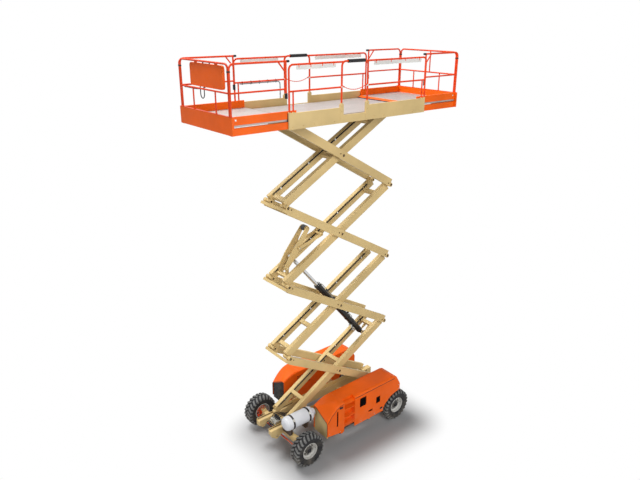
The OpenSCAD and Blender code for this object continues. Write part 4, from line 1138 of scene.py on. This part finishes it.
class LIFT_OT_chassis(bpy.types.Operator):
    """Make the valve block, hoses, bolts, slide strips and steering fittings of the chassis"""

    bl_idname = "lift.chassis"
    bl_label = "Chassis"
    valve_x, valve_top = -1.60, 0.765
    coil = ((0.018, 0), (0.018, 0.010), (0.0215, 0.012), (0.0215, 0.058), (0.018, 0.062), (0.009, 0.064),
            (0.009, 0.074), (0.001, 0.075))
    front_union = ((0.015, -0.001), (0.015, 0.016), (0.012, 0.018), (0.012, 0.034), (0.001, 0.034))
    top_union = ((0.013, -0.001), (0.013, 0.016), (0.010, 0.018), (0.010, 0.030), (0.001, 0.030))
    king_cap = ((0.026, -0.001), (0.036, 0.0), (0.036, 0.008), (0.030, 0.013), (0.001, 0.014))
    nipple = ((0.007, 0), (0.007, 0.008), (0.004, 0.010), (0.005, 0.014), (0.001, 0.017))
    tie_nut = ((0.016, -0.012), (0.021, -0.0115), (0.021, 0.004), (0.015, 0.006), (0.001, 0.006))

    def execute(self, context):
        self.valve()
        self.frame_bolts()
        self.tie_downs()
        strips = []
        for s in (-1, 1):
            at = (-1.40, 0.250 + s * 0.0628, 0.722)
            strips.append(plate(rounded(1.05, 0.020, 0.004), 0.004, at, -X * s, Z, 0.001))
        piece("slide_strips", "chassis", "nylon", sides(strips))
        for name, joint in (("left", "steer"), ("right", "steer_right")):
            self.knuckle(name, pin(joint))
        self.tie_rod()
        self.drive()
        return {"FINISHED"}

    def valve(self):
        """Valve block on its foot between the rails, with coils, unions and two hoses for each coil."""
        coils, unions, lines = [], [], []
        for k, y in enumerate((-0.085, -0.03, 0.03, 0.085)):
            coils.append(lathe(self.coil, (-1.565, y, self.valve_top), Z, 18))
            unions.append(lathe(self.front_union, (-1.70, y, 0.725), -X, 6))
            unions.append(lathe(self.top_union, (-1.645, y, self.valve_top), Z, 6))
            lean = 0.035 * (k - 1.5)
            lines.append(hose([(-1.73, y, 0.725), (-1.765, y, 0.725), (-1.80, y * 1.05, 0.705),
                               (-1.80, y * 1.1, 0.66), (-1.755, y * 1.1, 0.628), (-1.66, y * 1.05, 0.618),
                               (-1.50, y, 0.612)], 0.010))
            lines.append(hose([(-1.645, y, 0.79), (-1.645, y, 0.815), (-1.62, y + lean * 0.2, 0.842),
                               (-1.55, y + lean * 0.3, 0.852), (-1.46, y, 0.835), (-1.36, y, 0.775),
                               (-1.25, y, 0.720), (-1.05, y, 0.700), (-0.78, y, 0.692)], 0.009))
        block = plate(rounded(0.20, 0.23, 0.008), 0.085, (self.valve_x, 0, 0.681), X, Y, 0.004)
        foot = [plate(rounded(wide, 0.34, 0.008), thick, (x, 0, z), X, Y, 0.003)
                for wide, thick, x, z in ((0.26, 0.012, -1.575, 0.668), (0.05, 0.030, -1.46, 0.640))]
        piece("valve_block", "chassis", "zinc", [block])
        piece("valve_foot", "chassis", "cream_paint", foot)
        piece("valve_coils", "chassis", "foam", coils)
        piece("valve_fittings", "chassis", "zinc", unions)
        piece("valve_hoses", "chassis", "foam", lines)

    def frame_bolts(self):
        """Bolts that hold both axles, and a row along each slide rail."""
        axles = ((pin("wheel_fr_roll")[0], 0.468), (pin("wheel_rr_roll")[0], 0.482))
        spots = [(x + dx, y, z) for x, z in axles for dx in (-0.052, 0.052) for y in (0.36, 0.42)]
        side = corners("chassis_frame")[1, 1]
        row = [(x, side, 0.660) for x in np.linspace(-1.35, 1.15, 9)]
        piece("frame_bolts", "chassis", "zinc", sides(bolts(spots, Z, 0.026) + bolts(row, Y, 0.022)))

    def tie_downs(self):
        """Rims round both ends of the tie-down holes, placed by the frame's mounts."""
        lips = []
        for mount in frame["record"]["mounts"]:
            x, y, z = mount["pos_m"]
            r = mount["dims"]["r_mm"] / 1000
            half = mount["dims"]["length_mm"] / 2000 + 0.0005
            lips += [collar((x, y + d, z), Y, r, r + 0.012, 0.005) for d in (-half, half)]
        piece("tie_down_edges", "chassis", "cream_paint", lips)

    def knuckle(self, name, king):
        """Bolts of a front hub, caps of its king pin and a grease nipple."""
        s = np.sign(king[1])
        body = "knuckle_" + name
        spots = placed(ring(0.108, 10), king + Y * s * 0.057, X, Z)
        piece("hub_bolts_" + name, body, "zinc", bolts(spots, -Y * s, 0.020))
        caps = [lathe(self.king_cap, king + w * 0.098, w, 24) for w in (Z, -Z)]
        piece("king_pin_caps_" + name, body, "red_paint", caps)
        piece("grease_nipple_" + name, body, "zinc", [lathe(self.nipple, king + Z * 0.111, Z, 8)])

    def tie_rod(self):
        """Nuts on the tie rod's end pins and sleeves on the rod."""
        nuts = []
        end = pin("tie_rod_turn")
        for s in (-1, 1):
            spot = end * (1, -s, 1)
            nuts.append(lathe(self.tie_nut, spot, Z, 6))
            nuts += [collar(spot - Y * s * d - Z * 0.065, Y, 0.0185, 0.026, 0.020) for d in (0.075, 0.11)]
        piece("tie_rod_nuts", "tie", "zinc", nuts)

    def drive(self):
        """Cooling ribs and flange bolts of the rear drives, without those behind the axle beam."""
        ribs = []
        axle = pin("wheel_rr_roll") * (1, 0, 1)
        flange = ring(0.0945, 12)
        flange = flange[np.abs(flange).max(1) > 0.078]
        for s in (-1, 1):
            ribs += [collar(axle + Y * s * d, Y, 0.1095, 0.1155, 0.012) for d in (0.650, 0.690, 0.730, 0.770)]
            ribs += bolts(placed(flange, axle + Y * s * 0.6395, X, Z), -Y * s, 0.018)
        piece("drive_ribs", "chassis", "cream_paint", ribs)


class LIFT_OT_bottle(bpy.types.Operator):
    """Make the valve, straps, buckles and weld seams of the gas bottle"""

    bl_idname = "lift.bottle"
    bl_label = "Bottle"
    low, high = corners("gas_bottle")
    middle = (low + high) / 2 * (0, 1, 1)
    radius = (high[2] - low[2]) / 2
    strap = radius + 0.0072
    valve = ((0.022, -0.002), (0.022, 0.014), (0.017, 0.018), (0.015, 0.040), (0.021, 0.044), (0.021, 0.056),
             (0.001, 0.057))
    outlet = ((0.011, 0.0), (0.011, 0.030), (0.015, 0.032), (0.015, 0.046), (0.001, 0.046))
    tap = ((0.024, 0.055), (0.028, 0.058), (0.028, 0.068), (0.022, 0.072), (0.001, 0.072))

    def execute(self, context):
        seams = [collar(self.middle + X * x, X, self.radius - 0.001, self.radius + 0.0022, 0.010)
                 for x in (-1.722, -1.412, -1.086)]
        piece("bottle_seams", "chassis", "bottle", seams)
        buckles, straps = [], []
        for x in (-1.618, -1.158):
            straps.append(collar(self.middle + X * x, X, self.strap, self.strap + 0.003, 0.036))
            for t in (0.85, 2.4):
                out = np.array((0, -math.sin(t), math.cos(t)))
                across = np.cross(out, X)
                at = self.middle + X * x + out * (self.strap + 0.0018)
                buckles.append(plate(rounded(0.050, 0.060, 0.008), 0.012, at, X, across, 0.003))
                rod = np.linspace(at + out * 0.017 - across * 0.035, at + out * 0.017 + across * 0.035, 8)
                buckles.append(tube(rod, 0.006, 8))
        piece("bottle_straps", "chassis", "foam", straps)
        piece("bottle_buckles", "chassis", "zinc", buckles)
        end = self.middle + X * (self.high[0] - 0.050)
        valve = [lathe(self.valve, end, X, 6), lathe(self.outlet, end + X * 0.026, -Z, 6)]
        piece("bottle_valve", "chassis", "zinc", valve)
        piece("bottle_tap", "chassis", "red_paint", [lathe(self.tap, end, X, 12)])
        return {"FINISHED"}


class LIFT_OT_decks(bpy.types.Operator):
    """Make the screws, slide pads, lip seals and edge strips of the decks"""

    bl_idname = "lift.decks"
    bl_label = "Decks"
    flat_screw = ((0.011, -0.001), (0.010, 0.0009), (0.001, 0.0013))
    screw = ((0.011, -0.001), (0.010, 0.002), (0.005, 0.0035), (0.001, 0.0037))
    corner_bolt = ((0.019, -0.001), (0.019, 0.001), (0.016, 0.0025), (0.001, 0.003))
    edge = np.array(((-0.021, -0.003), (0.021, -0.003), (0.021, 0.002), (0.016, 0.004), (-0.016, 0.004),
                     (-0.021, 0.002)))

    def execute(self, context):
        spots = [(x, y, DECK) for x in np.linspace(-1.38, 1.50, 10) for y in np.linspace(-0.80, 0.80, 5)]
        piece("deck_screws", "platform", "zinc", [lathe(self.flat_screw, at, Z, 10) for at in spots])
        pads = []
        for body, x, s in EXTENSIONS:
            at = (x + s * 0.001, 0.912, DECK + 0.0686)
            pads.append(plate(rounded(0.022, 0.150, 0.003), 0.006, at, Y * s, Z, 0.0015))
        piece("panel_pads", "platform", "nylon", sides(pads))
        for body, x, s in EXTENSIONS:
            self.extension(body, x, s)
        strip = plate(rounded(1.44, 0.030, 0.005), 0.004, (-1.045, -0.4575, DECK - 0.2199), X, Y, 0.001)
        piece("track_strips", "platform", "nylon", sides([strip]))
        return {"FINISHED"}

    def extension(self, body, x, s):
        """Lip, seal, screws, corner bolts and top edge of one extension."""
        lip, out = x - s * 0.291, s * EXT_END
        bead = np.linspace((lip, -0.84, DECK + 0.0125), (lip, 0.84, DECK + 0.0125), 12)
        piece("lip_edge_" + body, body, "rail_paint", [tube(bead, 0.0035, 6)])
        seal = plate(rounded(0.034, 1.74, 0.008), 0.005, (lip - s * 0.0165, 0, DECK + 0.0072), X, Y, 0.0015)
        piece("lip_seal_" + body, body, "foam", [seal])
        spots = [(x + s * d, y, EXT_DECK) for y in np.linspace(-0.78, 0.78, 5) for d in (0.10, 0.60, 1.02)]
        piece("ext_screws_" + body, body, "zinc", [lathe(self.screw, at, Z, 10) for at in spots])
        corner = lathe(self.corner_bolt, (out - s * 0.10, 0.908, DECK + 0.1286), Y, 18)
        piece("ext_bolts_" + body, body, "zinc", sides([corner]))
        top = s * EXT_POST_X
        edge = np.linspace((top, -0.935, EXT_SILL), (top, 0.935, EXT_SILL), 14)
        piece("ext_edge_" + body, body, "rail_paint", [sweep(edge, self.edge)])


class LIFT_OT_stage(bpy.types.Operator):
    """Lay the floor, set the lights and place the camera"""

    bl_idname = "lift.stage"
    bl_label = "Stage"
    aim = np.array((0.0, 0.0, 4.0))
    lights = (("key", 9.0, (-3.0, 7.0, 20.0)), ("front", 8.0, (-5.0, -14.0, 14.0)),
              ("low", 10.0, (6.0, -17.0, 4.0)), ("fill", 10.0, (-16.0, -5.0, 4.0)))
    floor_size = 120.0
    shade_half, shade_shift, shade_fade = (1.55, 0.95), 0.35, (0.05, 1.15)

    def execute(self, context):
        scene = context.scene
        s = scene.lift_stage
        self.floor(scene)
        for name, size, place in self.lights:
            self.light(scene, name, getattr(s, name), size, place)
        self.sky(scene, s.sky)
        self.camera(scene, s)
        scene.view_settings.view_transform = "Standard"
        return {"FINISHED"}

    def floor(self, scene):
        """Floor with painted shade: grey in a patch round the lift, set toward its near side where its shadow
        falls, turning to the white of the backdrop away from it.
        """
        t = material("floor")
        p = t.point()
        base = tuple(scene.lift_colours.floor)
        t.set(Base_Color=t.mix(t.noise(p, scale=3.0) * 0.5, base, toned(base, 0.985)), Roughness=0.9)
        long, wide = self.shade_half
        # The grey patch is painted shade, set off toward the near side.
        x = (t.split(p, "X").do("ABSOLUTE") - long).do("MAXIMUM", 0.0)
        y = ((t.split(p, "Y") + self.shade_shift).do("ABSOLUTE") - wide).do("MAXIMUM", 0.0)
        away = (x * x + y * y).do("SQRT").above(*self.shade_fade)
        t.turn_white(t.backdrop() * away, "ShaderNodeEmission", "Material Output")
        mesh = bpy.data.meshes.new("floor")
        square = bar(self.floor_size, self.floor_size)
        mesh.from_pydata(np.column_stack((square, np.zeros(4))).tolist(), [], [(0, 1, 2, 3)])
        mesh.materials.append(t.owner)
        floor = bpy.data.objects.new("floor", mesh)
        scene.collection.objects.link(floor)

    def sky(self, scene, strength):
        """Even light all round, seen as white by the camera and in reflections."""
        world = bpy.data.worlds.new("studio")
        t = Tree(world, "Background")
        t.set(Color=(1.0, 1.0, 1.0), Strength=strength)
        t.turn_white(t.backdrop(), "ShaderNodeBackground", "World Output")
        scene.world = world

    def camera(self, scene, s):
        """Camera at the heading, dip and roll of the view."""
        az, dip, roll = s.azimuth, s.pitch, s.roll
        ahead = np.array((math.sin(az) * math.cos(dip), math.cos(az) * math.cos(dip), -math.sin(dip)))
        right = np.array((math.cos(az), -math.sin(az), 0.0))
        up = np.cross(right, ahead)
        turned = right * math.cos(roll) + up * math.sin(roll)
        upright = up * math.cos(roll) - right * math.sin(roll)
        data = bpy.data.cameras.new("camera")
        data.lens = s.lens
        data.sensor_width = 36.0
        data.shift_x, data.shift_y = s.shift
        data.clip_end = 200.0
        scene.camera = self.stand(scene, "camera", data, s.eye, turned, upright, -ahead)

    def light(self, scene, name, watts, size, place):
        """One square soft light turned toward the middle of the lift."""
        data = bpy.data.lights.new(name, "AREA")
        data.energy = watts
        data.size = size
        away = np.array(place) - self.aim
        away /= np.linalg.norm(away)
        side = np.cross(Z, away)
        side /= np.linalg.norm(side)
        self.stand(scene, name, data, place, side, np.cross(away, side), away)

    def stand(self, scene, name, data, place, *axes):
        """An object of the stage at a place, with its three axes."""
        obj = bpy.data.objects.new(name, data)
        rows = [[*row, at] for row, at in zip(np.column_stack(axes), place)]
        obj.matrix_world = Matrix(rows + [[0, 0, 0, 1]])
        scene.collection.objects.link(obj)
        return obj


class LIFT_PT_panel(bpy.types.Panel):
    """Buttons for the looks of the lift"""

    bl_idname = "LIFT_PT_panel"
    bl_label = "Scissor Lift"
    bl_space_type = "VIEW_3D"
    bl_region_type = "UI"
    bl_category = "Lift"

    def draw(self, context):
        for step in STEPS:
            self.layout.operator(step.bl_idname)


STEPS = (LIFT_OT_stage, LIFT_OT_chains, LIFT_OT_lead, LIFT_OT_finishes, LIFT_OT_wheels, LIFT_OT_rail_trim,
         LIFT_OT_controls, LIFT_OT_covers, LIFT_OT_arms, LIFT_OT_cylinder, LIFT_OT_chassis, LIFT_OT_bottle,
         LIFT_OT_decks)
GROUPS = (("lift_colours", LiftColours), ("lift_stage", LiftStage), ("lift_sizes", LiftSizes))


def register():
    for name, group in GROUPS:
        bpy.utils.register_class(group)
        setattr(bpy.types.Scene, name, PointerProperty(type=group))
    for cls in (*STEPS, LIFT_PT_panel):
        bpy.utils.register_class(cls)


def unregister():
    for cls in reversed((*STEPS, LIFT_PT_panel)):
        bpy.utils.unregister_class(cls)
    for name, group in reversed(GROUPS):
        delattr(bpy.types.Scene, name)
        bpy.utils.unregister_class(group)


def main():
    """Makes every piece in order."""
    register()
    for step in STEPS:
        space, name = step.bl_idname.split(".")
        getattr(getattr(bpy.ops, space), name)()


if __name__ == "__main__":
    main()
